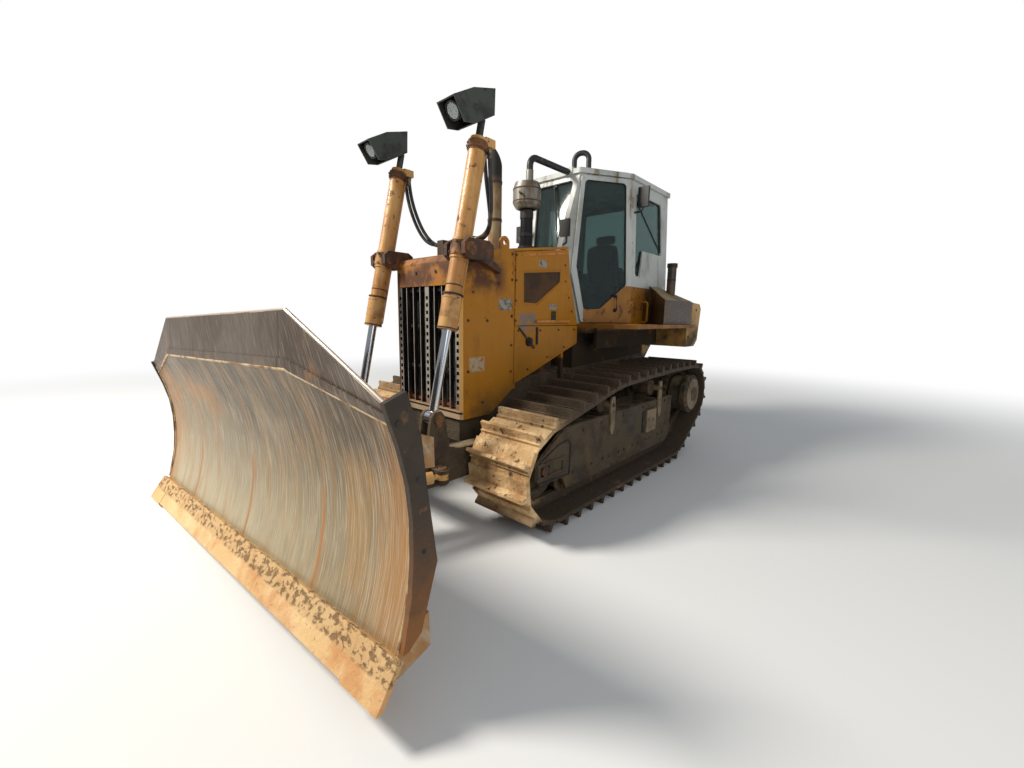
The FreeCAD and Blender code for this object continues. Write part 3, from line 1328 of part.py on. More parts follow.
def spill_guard():
    # half width, height of the weld, height of the top, place of the top
    stations = (
        (-BLADE_HALF, WELD_END_Z, SPILL_END_Z, -92.0),
        (-GUARD_BEND_HALF, WELD_MID_Z, SPILL_TOP_Z, SPILL_TOP_X),
        (GUARD_BEND_HALF, WELD_MID_Z, SPILL_TOP_Z, SPILL_TOP_X),
        (BLADE_HALF, WELD_END_Z, SPILL_END_Z, -92.0),
    )
    panels = []
    for (y0, weld0, top0, x0), (y1, weld1, top1, x1) in zip(stations, stations[1:]):
        bottom = Part.makeLine(V(front_x(weld0), y0, weld0 + FIT), V(front_x(weld1), y1, weld1 + FIT))
        top = Part.makeLine(V(x0, y0, top0), V(x1, y1, top1))
        panels.append(Part.makeRuledSurface(bottom, top).extrude(V(-SPILL_SHEET, 0, 0)))
    return union(panels)


def end_plate():
    outline = ((-107, 156), (-128, 245), (-161, 380), (-178, 533), (-184, 700), (-172, 850), (-140, 994),
               (-79, 1191), (-181, 1226), (-244, 1039), (-265, 801), (-302, 479), (-203, 205), (-135, 156))
    return side_plate(outline, BLADE_HALF + FIT, BLADE_HALF + END_SHEET)


def cutting_edge():
    count = 3
    wide = 2 * (BLADE_HALF - 230) / count
    pieces = []
    for k in range(count):
        y0 = -BLADE_HALF + 230 + k * wide
        pieces.append(side_plate(((0, 0), (-100, 142), (-75, 160), (30, 0)), y0 + 1, y0 + wide - 1))
    bit = side_plate(((2.8, -4), (-100, 142), (-75, 160), (38, -4)), BLADE_HALF - 229,
                     BLADE_HALF + END_SHEET + 12)
    return pieces + both(bit)


def blade(shape):
    shape.translate(V(BLADE_TIP_X, 0, BLADE_TIP_Z))
    return place_blade(shape)


# Write one file for each piece

save("hull", [hull()])
save("track_frames", [track_frame(MIDDLE), mirrored(track_frame(MIDDLE))])
save("track_left", [track(MIDDLE)])
save("track_right", [track(-MIDDLE)])
save("idlers", [idler(MIDDLE), mirrored(idler(MIDDLE))])
save("sprockets", [sprocket(MIDDLE), mirrored(sprocket(MIDDLE))])
rollers = [roller(x, ROLLER_Z, MIDDLE, ROLLER_R) for x in roller_places()]
save("track_rollers", rollers + [mirrored(r) for r in rollers])
carriers = [carrier_roller(x, z, MIDDLE) for x, z in CARRIERS]
save("carrier_rollers", carriers + [mirrored(r) for r in carriers])
save("radiator_guard", [radiator_guard()])
save("grille", [grille()])
save("radiator", [radiator()])
save("hood", [hood()])
save("side_panels", both(skirt()))
door = engine_door()
save("engine_door_left", [door])
save("engine_door_right", [mirrored(door)])
save("engine", [engine()])
save("exhaust", [exhaust()])
save("precleaner", [precleaner()])
cab_frame, cab_panes = cab()
save("cab_frame", [cab_frame])
save("cab_glass", cab_panes)
save("cab_roof", [cab_roof()])
save("cab_base", [cab_base()])
leaf, glass = cab_door()
save("cab_door_left", [leaf])
save("cab_door_right", [mirrored(leaf)])
save("door_glass_left", [glass])
save("door_glass_right", [mirrored(glass)])
save("seat", [seat()])
save("console", console())
save("decks", both(deck()))
save("side_tanks", both(side_tank()))
save("fuel_tank", [fuel_tank()])
save("drawbar", [drawbar()])
save("cylinder_brackets", both(cylinder_bracket()) + both(hose_block()))
for name, route in (("outer", HOSE_OUTER), ("inner", HOSE_INNER)):
    hose = tube([V(*point) for point in route], HOSE_R, HOSE_BEND).cut(port_block())
    save("hose_left_" + name, [hose])
    save("hose_right_" + name, [mirrored(hose)])
save("ducts", ducts())
mirror_pair = mirror_set(cab_frame)
save("mirrors", mirror_pair + [mirrored(m) for m in mirror_pair])
save("handrails", both(handrail(cab_frame)))
for name, shape in (("lift_barrel", lift_barrel()), ("lift_rod", lift_rod()), ("lamp_box", lamp_box())):
    save(name + "_left", [shape])
    save(name + "_right", [mirrored(shape)])
for name, side in (("left", 1), ("right", -1)):
    outer_part, inner_part = angle_cylinder(side)
    save("angle_barrel_" + name, [outer_part])
    save("angle_rod_" + name, [inner_part])
tilt_outer, tilt_inner = tilt_cylinder()
save("tilt_barrel", [tilt_outer])
save("tilt_rod", [tilt_inner])
save("push_frame", [push_frame()])
save("blade_carrier", [place_carrier(blade_carrier())])
save("moldboard", [blade(moldboard())])
save("spill_guard", [blade(spill_guard())])
save("end_plates", [blade(p) for p in both(end_plate())])
save("cutting_edges", [blade(p) for p in cutting_edge()])
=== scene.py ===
import math
import random

import bmesh
import bpy
from mathutils import Matrix, Vector


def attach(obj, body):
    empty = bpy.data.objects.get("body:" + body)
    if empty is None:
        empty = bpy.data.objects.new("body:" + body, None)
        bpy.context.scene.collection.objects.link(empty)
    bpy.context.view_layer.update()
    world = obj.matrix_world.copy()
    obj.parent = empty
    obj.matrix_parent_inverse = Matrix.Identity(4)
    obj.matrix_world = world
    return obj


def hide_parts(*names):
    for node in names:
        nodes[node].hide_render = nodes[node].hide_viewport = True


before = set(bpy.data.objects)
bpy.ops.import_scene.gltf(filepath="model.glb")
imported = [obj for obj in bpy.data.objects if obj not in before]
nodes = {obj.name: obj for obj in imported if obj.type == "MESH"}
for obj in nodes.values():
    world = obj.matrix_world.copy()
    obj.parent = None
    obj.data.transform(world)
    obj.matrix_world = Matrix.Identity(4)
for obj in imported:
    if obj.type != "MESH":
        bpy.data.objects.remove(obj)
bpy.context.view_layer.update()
scene = bpy.context.scene


# Camera
# A phone's wide view from eye height, three metres to the left of the blade.
# Its place and turn come from matching the machine's corners to the photograph.
camera_data = bpy.data.cameras.new("camera")
camera_data.sensor_width = 36
camera_data.lens = 14.876
camera_data.clip_end = 200
camera = bpy.data.objects.new("camera", camera_data)
right = Vector((-0.6767, 0.73609, 0.01581))
up = -Vector((0.10588, 0.11854, -0.98729))
back = -Vector((-0.72861, -0.66642, -0.15815))
turn = Matrix((right, up, back)).transposed().to_quaternion().normalized()
camera.matrix_world = Matrix.Translation((3.2727, 3.0742, 1.66)) @ turn.to_matrix().to_4x4()
scene.collection.objects.link(camera)
scene.camera = camera


# Studio
# A pale floor that keeps the machine's shadow and fades into a white surround.
# One large soft lamp stands where the sun was, to the blade's far side, with a weaker fill.
scene.view_settings.view_transform = "Standard"


def node_of(tree, kind, **inputs):
    """Adds a node and fills its named inputs with values or links."""
    node = tree.nodes.new(kind)
    for name, value in inputs.items():
        socket = node.inputs[int(name[1:])] if name[0] == "i" and name[1:].isdigit() else node.inputs[name]
        if isinstance(value, bpy.types.NodeSocket):
            tree.links.new(value, socket)
        else:
            socket.default_value = value
    return node


floor_mesh = bpy.data.meshes.new("studio_floor")
floor_bm = bmesh.new()
bmesh.ops.create_circle(floor_bm, cap_ends=True, segments=64, radius=60)
bmesh.ops.translate(floor_bm, verts=floor_bm.verts, vec=(0, 0, -0.002))
floor_bm.to_mesh(floor_mesh)
floor_bm.free()
studio_floor = bpy.data.objects.new("studio_floor", floor_mesh)
scene.collection.objects.link(studio_floor)

floor_finish = bpy.data.materials.new("studio_floor")
floor_finish.use_nodes = True
tree = floor_finish.node_tree
tree.nodes.clear()
ground = node_of(tree, "ShaderNodeBsdfDiffuse", Color=(0.80, 0.80, 0.79, 1))
glow = node_of(tree, "ShaderNodeEmission", Color=(1, 1, 1, 1), Strength=1.0)
place = node_of(tree, "ShaderNodeTexCoord")
far_off = node_of(tree, "ShaderNodeVectorMath", i0=place.outputs["Object"])
far_off.operation = "LENGTH"
fade = node_of(tree, "ShaderNodeMapRange", Value=far_off.outputs["Value"])
fade.interpolation_type = "SMOOTHSTEP"
fade.inputs["From Min"].default_value = 4.5
fade.inputs["From Max"].default_value = 14
mix = node_of(tree, "ShaderNodeMixShader", i0=fade.outputs["Result"], i1=ground.outputs[0], i2=glow.outputs[0])
node_of(tree, "ShaderNodeOutputMaterial", Surface=mix.outputs[0])
floor_mesh.materials.append(floor_finish)

world = bpy.data.worlds.new("studio")
scene.world = world
world.use_nodes = True
tree = world.node_tree
tree.nodes.clear()
rays = node_of(tree, "ShaderNodeLightPath")
seen = node_of(tree, "ShaderNodeMath", i0=rays.outputs["Is Camera Ray"], i1=rays.outputs["Is Transmission Ray"])
seen.operation = "MAXIMUM"
soft = node_of(tree, "ShaderNodeBackground", Color=(0.90, 0.95, 1.0, 1), Strength=0.36)
white = node_of(tree, "ShaderNodeBackground", Color=(1, 1, 1, 1), Strength=1.0)
mix = node_of(tree, "ShaderNodeMixShader", i0=seen.outputs[0], i1=soft.outputs[0], i2=white.outputs[0])
node_of(tree, "ShaderNodeOutputWorld", Surface=mix.outputs[0])


def lamp(name, place, aim, size, watts, tone):
    data = bpy.data.lights.new(name, "AREA")
    data.shape = "DISK"
    data.size = size
    data.energy = watts
    data.color = tone
    lamp_object = bpy.data.objects.new(name, data)
    direction = Vector(aim) - Vector(place)
    lamp_object.matrix_world = Matrix.Translation(place) @ direction.to_track_quat("-Z", "Y").to_matrix().to_4x4()
    scene.collection.objects.link(lamp_object)


lamp("key", (7.5, -5.5, 9.0), (0.3, 0, 1.2), 3.2, 1750, (1.0, 0.95, 0.87))
lamp("fill", (3.0, 9.0, 5.0), (0, 0, 1.4), 6.0, 150, (0.95, 0.97, 1.0))


# Lift cylinder hoses
# Two steel-braided rubber hoses a side feed each lift cylinder from a block on the radiator guard.
# They leave the ports behind the barrel and hang in a curve that lets the barrel swing.
def shade(levels):
    """A linear tone from 0 to 255 screen levels."""
    return tuple(((v / 255 + 0.055) / 1.055) ** 2.4 if v > 10 else v / 3294.6 for v in levels)


class Finish:
    """A material built up like real paint: a ground tone, then layers of wear and dirt over it.

    Tones are screen levels, or linear where all three are below 1. Masks are multiplied."""

    def __init__(self, name, tone, rough, metal=0.0, coat=0.0):
        self.tone = shade(tone) if max(tone) > 1 else tone
        self.rough = rough
        self.relief = None
        self.material = bpy.data.materials.new(name)
        self.material.use_nodes = True
        self.material.diffuse_color = (*self.tone, 1)
        self.tree = self.material.node_tree
        self.socket = self.tree.nodes["Principled BSDF"].inputs
        self.socket["Base Color"].default_value = (*self.tone, 1)
        self.socket["Roughness"].default_value = rough
        self.socket["Metallic"].default_value = metal
        self.socket["Coat Weight"].default_value = coat
        self.place = self.node("TexCoord").outputs["Object"]

    def node(self, kind, **inputs):
        return node_of(self.tree, "ShaderNode" + kind, **inputs)

    def math(self, operation, *values, clamp=True):
        node = self.node("Math", **{f"i{k}": value for k, value in enumerate(values)})
        node.operation = operation
        node.use_clamp = clamp
        return node.outputs[0]

    def stretched(self, stretch, shift=(0, 0, 0), lean=0.0):
        """Object coordinates leant about X, then stretched and shifted."""
        place = self.place
        if lean:
            place = self.node("Mapping", Vector=place, Rotation=(lean, 0, 0)).outputs[0]
        return self.node("Mapping", Vector=place, Scale=stretch, Location=shift).outputs[0]

    def ramp(self, value, low, high):
        node = self.node("MapRange", Value=value)
        node.interpolation_type = "SMOOTHSTEP"
        node.inputs["From Min"].default_value = low
        node.inputs["From Max"].default_value = high
        return node.outputs["Result"]

    def blotches(self, scale, low, high, stretch=(1, 1, 1), detail=5, grit=0.6, shift=(0, 0, 0), lean=0.0):
        noise = self.node("TexNoise", Vector=self.stretched(stretch, shift, lean), Scale=scale, Detail=detail,
                          Roughness=grit)
        return self.ramp(noise.outputs["Fac"], low, high)

    def cells(self, scale, low, high):
        chips = self.node("TexVoronoi", Vector=self.stretched((1, 1, 1)), Scale=scale)
        return self.ramp(chips.outputs["Distance"], low, high)

    def along(self, vector, letter):
        return self.node("SeparateXYZ", Vector=vector).outputs[letter]

    def axis(self, letter, low, high):
        """A fade along an axis."""
        return self.ramp(self.along(self.place, letter), low, high)

    def facing(self, letter, low, high):
        """How far the surface faces along an axis."""
        return self.ramp(self.along(self.node("NewGeometry").outputs["Normal"], letter), low, high)

    def band(self, letter, middle, half, soft):
        """A stripe across one axis, with soft edges."""
        off = self.math("SUBTRACT", self.along(self.place, letter), middle, clamp=False)
        away = self.math("ABSOLUTE", off, clamp=False)
        return self.ramp(away, half + soft, half)

    def both(self, first, *others):
        for other in others:
            first = self.math("MULTIPLY", first, other)
        return first

    def cover(self, kind, mask, under, over):
        """Mixes one value or colour over another by a mask."""
        mix = self.tree.nodes.new("ShaderNodeMix")
        mix.data_type = kind
        first = 6 if kind == "RGBA" else 2
        for k, value in ((0, mask), (first, under), (first + 1, over)):
            if isinstance(value, bpy.types.NodeSocket):
                self.tree.links.new(value, mix.inputs[k])
            else:
                mix.inputs[k].default_value = (*value, 1) if kind == "RGBA" else value
        return mix.outputs[first // 3]

    def layer(self, tone, rough, *masks):
        """Covers the masks' share of the surface with another tone and roughness."""
        mask = self.both(*masks)
        self.tone = self.cover("RGBA", mask, self.tone, shade(tone) if max(tone) > 1 else tone)
        self.rough = self.cover("FLOAT", mask, self.rough, rough)
        self.tree.links.new(self.tone, self.socket["Base Color"])
        self.tree.links.new(self.rough, self.socket["Roughness"])

    def stain(self, tone, rough, scale, low, high, *masks, **noise):
        """A layer in blotches."""
        self.layer(tone, rough, self.blotches(scale, low, high, **noise), *masks)

    def bump(self, height, depth):
        node = self.node("Bump", Height=height, Distance=depth, Strength=1.0)
        if self.relief is not None:
            self.tree.links.new(self.relief, node.inputs["Normal"])
        self.relief = node.outputs[0]
        self.tree.links.new(self.relief, self.socket["Normal"])

    def grain(self, depth, scale, low, high, **noise):
        """A bump in blotches."""
        self.bump(self.blotches(scale, low, high, **noise), depth)


def coat(finish, *names):
    """Gives carried-over nodes their finish."""
    for name in names:
        materials = nodes[name].data.materials
        if not materials:
            materials.append(finish.material)
        for k in range(len(materials)):
            materials[k] = finish.material


rubber = Finish("hose_rubber", (30, 29, 28), 0.42)
rubber.stain((92, 80, 62), 0.75, 9, 0.52, 0.72)
rubber.grain(0.0006, 160, 0.3, 0.7)
HOSE_ROUTES = {
    "outer": ((0.832, 0.568, 2.925), (0.826, 0.566, 2.835), (0.806, 0.556, 2.700), (0.772, 0.532, 2.565),
              (0.738, 0.492, 2.450), (0.711, 0.440, 2.372), (0.698, 0.368, 2.330), (0.694, 0.296, 2.314),
              (0.694, 0.228, 2.314)),
    "inner": ((0.832, 0.512, 2.925), (0.825, 0.511, 2.835), (0.800, 0.505, 2.700), (0.757, 0.488, 2.565),
              (0.712, 0.462, 2.455), (0.676, 0.413, 2.374), (0.657, 0.350, 2.331), (0.650, 0.288, 2.314),
              (0.650, 0.228, 2.314)),
}
for side, sign in (("left", 1), ("right", -1)):
    for line, route in HOSE_ROUTES.items():
        curve = bpy.data.curves.new(f"hose_{side}_{line}_cord", "CURVE")
        curve.dimensions = "3D"
        spline = curve.splines.new("NURBS")
        spline.points.add(len(route) - 1)
        for point, (x, y, z) in zip(spline.points, route):
            point.co = (x, sign * y, z, 1)
        spline.order_u = 3
        spline.use_endpoint_u = True
        spline.resolution_u = 10
        curve.bevel_depth = 0.016
        curve.bevel_resolution = 5
        curve.use_fill_caps = True
        curve.materials.append(rubber.material)
        hose = bpy.data.objects.new(curve.name, curve)
        scene.collection.objects.link(hose)
        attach(hose, "lift_barrel_" + side)
        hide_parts(f"hose_{side}_{line}")


# Tracks
# Chains of cast shoes with one tall grouser each, bolted to the links with four bolts.
# Dried clay sits on the plates, and the grouser tips are worn bright. Painted shade and mud darken the rear run and
# the underside.
track_steel = Finish("track_shoes", (208, 172, 122), 0.82)
track_steel.stain((176, 136, 90), 0.85, 3.2, 0.4, 0.66, detail=8)
track_steel.stain((226, 194, 146), 0.9, 7, 0.46, 0.66, detail=9, shift=(3, 1, 0))
# Painted shade, with some mud: the run behind the front shoes and the underside near the ground are darker.
mud_and_shade_run = track_steel.math("MAXIMUM", track_steel.axis("X", 1.02, 0.55), track_steel.axis("Z", 0.24, 0.12))
track_steel.layer((74, 60, 45), 0.85, mud_and_shade_run, track_steel.blotches(1.8, 0.1, 0.42))
track_steel.stain((64, 50, 36), 0.85, 19, 0.58, 0.7, detail=6)
track_steel.stain((128, 84, 48), 0.8, 11, 0.62, 0.72, detail=8, shift=(0, 4, 2))
track_steel.grain(0.006, 38, 0.25, 0.8, detail=8)
track_steel.bump(track_steel.cells(60, 0.0, 0.5), 0.002)
coat(track_steel, "track_left", "track_right")


def piece(name, bm, finish, body):
    """Makes a mesh piece that rides on a body, from a bmesh in the machine's own frame."""
    mesh = bpy.data.meshes.new(name)
    bm.to_mesh(mesh)
    bm.free()
    mesh.materials.append(finish.material)
    made = bpy.data.objects.new(name, mesh)
    scene.collection.objects.link(made)
    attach(made, body)
    return made


def add_prism(bm, place, axis, radius, depth, sides=6, tip=None, turn=0.0):
    """A bolt head, boss or pipe stub standing on a face: sides, bottom and top, along an axis."""
    made = bmesh.ops.create_cone(bm, cap_ends=True, segments=sides, radius1=radius,
                                 radius2=radius if tip is None else tip, depth=depth)
    rotation = Vector(axis).to_track_quat("Z", "Y").to_matrix().to_4x4() @ Matrix.Rotation(turn, 4, "Z")
    move = Matrix.Translation(Vector(place) + Vector(axis).normalized() * depth / 2) @ rotation
    bmesh.ops.transform(bm, matrix=move, verts=made["verts"])
    return made["verts"]


def add_block(bm, low, high, bevel=0.0, segments=2):
    """A block between two corners, its edges rounded."""
    made = bmesh.ops.create_cube(bm, size=1.0)["verts"]
    bmesh.ops.scale(bm, vec=[abs(b - a) for a, b in zip(low, high)], verts=made)
    bmesh.ops.translate(bm, vec=(Vector(low) + Vector(high)) / 2, verts=made)
    if bevel:
        edges = {e for v in made for e in v.link_edges}
        bmesh.ops.bevel(bm, geom=list(edges), offset=bevel, affect="EDGES", segments=segments, profile=0.5,
                        material=-1)
    return made


def shoe_faces(node):
    """The wide faces of a track, one for each shoe: middle, normal and way along."""
    mesh = nodes[node].data
    planes = {}
    for triangle in mesh.polygons:
        corners = [mesh.vertices[v].co for v in triangle.vertices]
        normal = triangle.normal
        if abs(normal.y) > 0.01 or max(c.y for c in corners) - min(c.y for c in corners) < 0.6:
            continue
        middle = sum(corners, Vector()) / 3
        key = (round(normal.x, 2), round(normal.z, 2), round(middle.dot(normal), 2))
        planes.setdefault(key, []).append(corners)
    found = []
    for group in planes.values():
        points = [p for corners in group for p in corners]
        normal = (group[0][1] - group[0][0]).cross(group[0][2] - group[0][0]).normalized()
        along = Vector((0, 1, 0)).cross(normal).normalized()
        spread = [p.dot(along) for p in points]
        length = max(spread) - min(spread)
        middle = sum((Vector((p.x, 0, p.z)) for p in points), Vector()) / len(points)
        if 0.11 < length < 0.17:
            found.append((middle, normal, along))
    return found


bolt_bm = bmesh.new()
for sign, node in ((1, "track_left"), (-1, "track_right")):
    for middle, normal, along in shoe_faces(node):
        if normal.dot(middle - Vector((-0.7, 0, 0.56))) <= 0:
            continue
        for across in (-0.10, 0.10):
            for ahead in (-0.032, 0.032):
                at = middle + along * ahead + Vector((0, sign * (0.95 + across), 0))
                add_prism(bolt_bm, at - normal * 0.002, normal, 0.020, 0.014, sides=4, tip=0.018,
                          turn=math.radians(45))
bolt_steel = Finish("oily_bolts", (58, 44, 32), 0.6)
bolt_steel.stain((122, 96, 66), 0.85, 5, 0.46, 0.62, detail=7)
piece("shoe_bolts", bolt_bm, bolt_steel, "root")


# Track frames, idlers, rollers and sprockets
# Welded box frames with the rollers between their guard plates, under mud and old grease.
# The final drive's cover is the one pale, clean disc on the machine's side.
frame_paint = Finish("muddy_frame", (78, 65, 45), 0.78)
frame_paint.stain((104, 76, 38), 0.6, 2.6, 0.5, 0.66, 0.6, detail=8)
frame_paint.stain((62, 50, 38), 0.85, 6, 0.44, 0.64, detail=9, shift=(0, 2, 5))
frame_paint.stain((36, 28, 20), 0.45, 1.7, 0.55, 0.75, detail=6, shift=(4, 0, 1))
frame_paint.layer((134, 116, 90), 0.9, frame_paint.facing("Z", 0.4, 0.9),
                  frame_paint.blotches(9, 0.35, 0.6))
frame_paint.grain(0.005, 30, 0.3, 0.8, detail=8)
coat(frame_paint, "track_frames", "idlers", "sprockets", "track_rollers", "carrier_rollers", "hull",
     "push_frame")


# Painted sheet metal
# The weathered orange-yellow enamel of the guard, hood, doors and deck.
# It has faded, gone dull with dust, and rusted in streaks, and splashed mud covers its lower part. The decks'
# darker copy and the parts under the deck carry painted shade and shadow.
def enamel(name, tone, mud_top=1.20, mud_fade=0.55, rust=0.62):
    paint = Finish(name, tone, 0.42)
    paint.socket["Specular IOR Level"].default_value = 0.32
    darker = tuple(v * 0.62 for v in shade(tone))
    paler = tuple(min(1, v * 1.22 + 0.006) for v in shade(tone))
    paint.stain(darker, 0.5, 1.4, 0.38, 0.72, 0.75, detail=7, stretch=(1, 1, 0.5))
    paint.stain(paler, 0.5, 3.4, 0.5, 0.74, 0.7, detail=8, shift=(7, 1, 0))
    streaks = paint.blotches(11, 0.48, 0.72, stretch=(1, 1, 0.08), detail=6)
    paint.layer((104, 70, 32), 0.6, streaks, paint.blotches(1.3, 0.42, 0.62), 0.7)
    paint.stain((92, 58, 30), 0.8, 13, rust, rust + 0.05, 0.85, detail=9, grit=0.7)
    paint.stain((48, 34, 24), 0.8, 44, 0.7, 0.74, detail=4)
    mud = paint.math("ADD", paint.axis("Z", mud_top, mud_top - mud_fade),
                    paint.both(paint.facing("Z", 0.5, 0.95), paint.blotches(2, 0.2, 0.6), 0.7))
    paint.layer((84, 68, 46), 0.85, mud, paint.blotches(4.5, 0.34, 0.62, detail=9))
    paint.grain(0.0008, 120, 0.2, 0.8)
    paint.grain(0.01, 2.2, 0.2, 0.8, detail=2)
    return paint


BODY_TONE = (172, 112, 16)
body_paint = enamel("body_enamel", BODY_TONE)
front_cap = body_paint.both(body_paint.axis("Z", 1.9, 1.93), body_paint.facing("X", 0.2, 0.6))
body_paint.layer((150, 98, 56), 0.6, front_cap, body_paint.blotches(3, 0.28, 0.62, detail=8))
body_paint.layer((104, 58, 30), 0.8, front_cap, body_paint.blotches(9, 0.5, 0.64, detail=9))
body_paint.layer((92, 58, 36), 0.7, body_paint.axis("X", 0.45, 0.62),
                 body_paint.band("Z", 2.0, 0.05, 0.16), body_paint.blotches(5, 0.4, 0.58, detail=8))
left_side = body_paint.axis("Y", 0.40, 0.45)
sticker = body_paint.both(left_side, body_paint.band("X", 0.855, 0.075, 0.02),
                          body_paint.band("Z", 1.255, 0.05, 0.02),
                          body_paint.blotches(26, 0.42, 0.5, detail=6))
body_paint.layer((172, 160, 138), 0.5, sticker, 0.85)
scuff = body_paint.both(left_side, body_paint.band("X", 0.215, 0.09, 0.05),
                        body_paint.band("Z", 1.605, 0.06, 0.05),
                        body_paint.blotches(12, 0.4, 0.52, detail=7))
body_paint.layer((116, 110, 106), 0.45, scuff, 0.85)
# The guard's front corner faces, between the front and the sides, are painted a paler, brighter orange.
pale_corner_faces = body_paint.both(body_paint.facing("X", 0.5, 0.62),
                           body_paint.math("MAXIMUM", body_paint.facing("Y", 0.5, 0.62), body_paint.facing("Y", -0.5, -0.62)),
                           body_paint.axis("X", 0.9, 0.95))
body_paint.layer((228, 176, 98), 0.4, pale_corner_faces, 0.9)
sill = body_paint.both(body_paint.axis("X", 1.0, 1.02), body_paint.axis("Z", 0.874, 0.87))
body_paint.layer((178, 152, 122), 0.6, sill, 0.9)
# A dark line across the sill is painted shade standing in for a groove.
body_paint.layer((22, 18, 15), 0.8, sill, body_paint.band("Z", 0.852, 0.007, 0.003))
# Painted shadow: the parts below the deck towards the rear are darkened almost to black-brown.
painted_shadow_under_deck = body_paint.both(body_paint.axis("X", -0.3, -0.32), body_paint.axis("Z", 1.25, 1.22))
body_paint.layer((54, 44, 31), 0.9, painted_shadow_under_deck, 0.95)
coat(body_paint, "radiator_guard", "hood", "side_panels", "engine_door_left", "engine_door_right",
     "handrails")
# The decks and cab base take a darker copy of the body enamel as painted shade; below the deck edge, painted shadow
# and mud darken it further.
shaded_deck_paint = enamel("deck_enamel", (146, 94, 22), mud_top=1.66, mud_fade=0.2)
shaded_deck_paint.layer((58, 46, 32), 0.9, shaded_deck_paint.axis("Z", 1.56, 1.5), shaded_deck_paint.blotches(3, 0.16, 0.5))
coat(shaded_deck_paint, "decks", "cab_base")

coat(enamel("faded_enamel", (196, 150, 84), mud_top=1.9, mud_fade=0.5), "fuel_tank")

tank_paint = Finish("oily_tank", (92, 66, 36), 0.5)
tank_paint.stain((52, 38, 25), 0.3, 3, 0.36, 0.58, detail=8)
tank_paint.layer((150, 128, 96), 0.8, tank_paint.facing("Z", 0.35, 0.8),
                 tank_paint.blotches(6, 0.3, 0.55, detail=8))
tank_paint.grain(0.003, 24, 0.3, 0.8, detail=8)
coat(tank_paint, "side_tanks")

dark_steel = Finish("rusty_casting", (66, 46, 32), 0.7)
dark_steel.stain((112, 66, 34), 0.8, 7, 0.46, 0.62, detail=9)
dark_steel.stain((36, 28, 24), 0.5, 4, 0.5, 0.66, detail=7, shift=(2, 5, 1))
dark_steel.grain(0.002, 70, 0.3, 0.8, detail=8)
coat(dark_steel, "drawbar", "cylinder_brackets", "blade_carrier", "engine")


# Grille and radiator
# Upright bars of black-painted steel in front of the radiator core.
# The bars' front faces carry a painted highlight in light grey.
grille_black = Finish("grille_black", (26, 24, 23), 0.5)
grille_black.stain((82, 66, 46), 0.85, 5, 0.56, 0.74, 0.6, detail=8)
# Painted highlight: the bars' front faces are light grey.
front_face_highlight = grille_black.both(grille_black.facing("X", 0.6, 0.8), grille_black.axis("X", 1.005, 1.012))
grille_black.layer((158, 150, 140), 0.45, front_face_highlight,
                   grille_black.blotches(7, 0.26, 0.5, stretch=(1, 1, 0.3), detail=7), 0.9)
grille_black.layer((130, 84, 52), 0.7, grille_black.axis("Z", 1.02, 0.88),
                   grille_black.blotches(12, 0.4, 0.56, detail=7), 0.8)
coat(grille_black, "grille")
core_black = Finish("radiator_core", (22, 21, 20), 0.7)
core_black.stain((60, 52, 42), 0.9, 4, 0.5, 0.7)
core_black.grain(0.003, 180, 0.4, 0.6, stretch=(1, 0.2, 1))
coat(core_black, "radiator")


# Cab metal and glass
# A light grey cab on a yellow base, with tinted safety glass held in black rubber.
cab_white = Finish("cab_enamel", (186, 189, 184), 0.42)
cab_white.stain((150, 150, 142), 0.5, 2.4, 0.42, 0.7, detail=7)
cab_white.stain((122, 106, 82), 0.65, 11, 0.52, 0.7, cab_white.blotches(2, 0.4, 0.6),
                stretch=(1, 1, 0.12))
cab_white.stain((84, 58, 38), 0.8, 15, 0.66, 0.72, detail=9)
lower_cab = cab_white.both(cab_white.axis("Z", 2.024, 2.018), cab_white.axis("X", -0.8, -0.806))
cab_white.layer(BODY_TONE, 0.42, lower_cab)
cab_white.layer((122, 76, 28), 0.55, lower_cab, cab_white.blotches(1.8, 0.38, 0.66, detail=7), 0.8)
cab_white.layer((84, 58, 34), 0.75, lower_cab, cab_white.blotches(12, 0.56, 0.64, detail=8), 0.8)
cab_white.grain(0.004, 2.5, 0.2, 0.8, detail=2)
coat(cab_white, "cab_frame", "cab_roof", "cab_door_left", "cab_door_right")

glass = Finish("tinted_glass", (0.20, 0.285, 0.27), 0.04)
glass.socket["IOR"].default_value = 1.45
glass.socket["Transmission Weight"].default_value = 0.97
coat(glass, "cab_glass", "door_glass_left", "door_glass_right")

black_metal = Finish("black_enamel", (26, 25, 25), 0.45)
black_metal.stain((92, 82, 68), 0.75, 7, 0.55, 0.75, detail=8)
coat(black_metal, "ducts", "mirrors", "console")

silver = Finish("spun_bowl", (150, 146, 136), 0.36, metal=0.55)
silver.stain((96, 86, 70), 0.7, 6, 0.48, 0.66, detail=8, stretch=(1, 1, 0.3))
silver.layer((26, 25, 26), 0.55, silver.axis("Z", 2.712, 2.706))
coat(silver, "precleaner")

stack_steel = Finish("heat_stained_stack", (158, 138, 100), 0.6)
stack_steel.stain((122, 84, 48), 0.75, 5, 0.42, 0.62, detail=8, stretch=(1, 1, 0.4))
stack_steel.layer((36, 32, 28), 0.8, stack_steel.axis("Z", 2.9, 3.12))
coat(stack_steel, "exhaust")


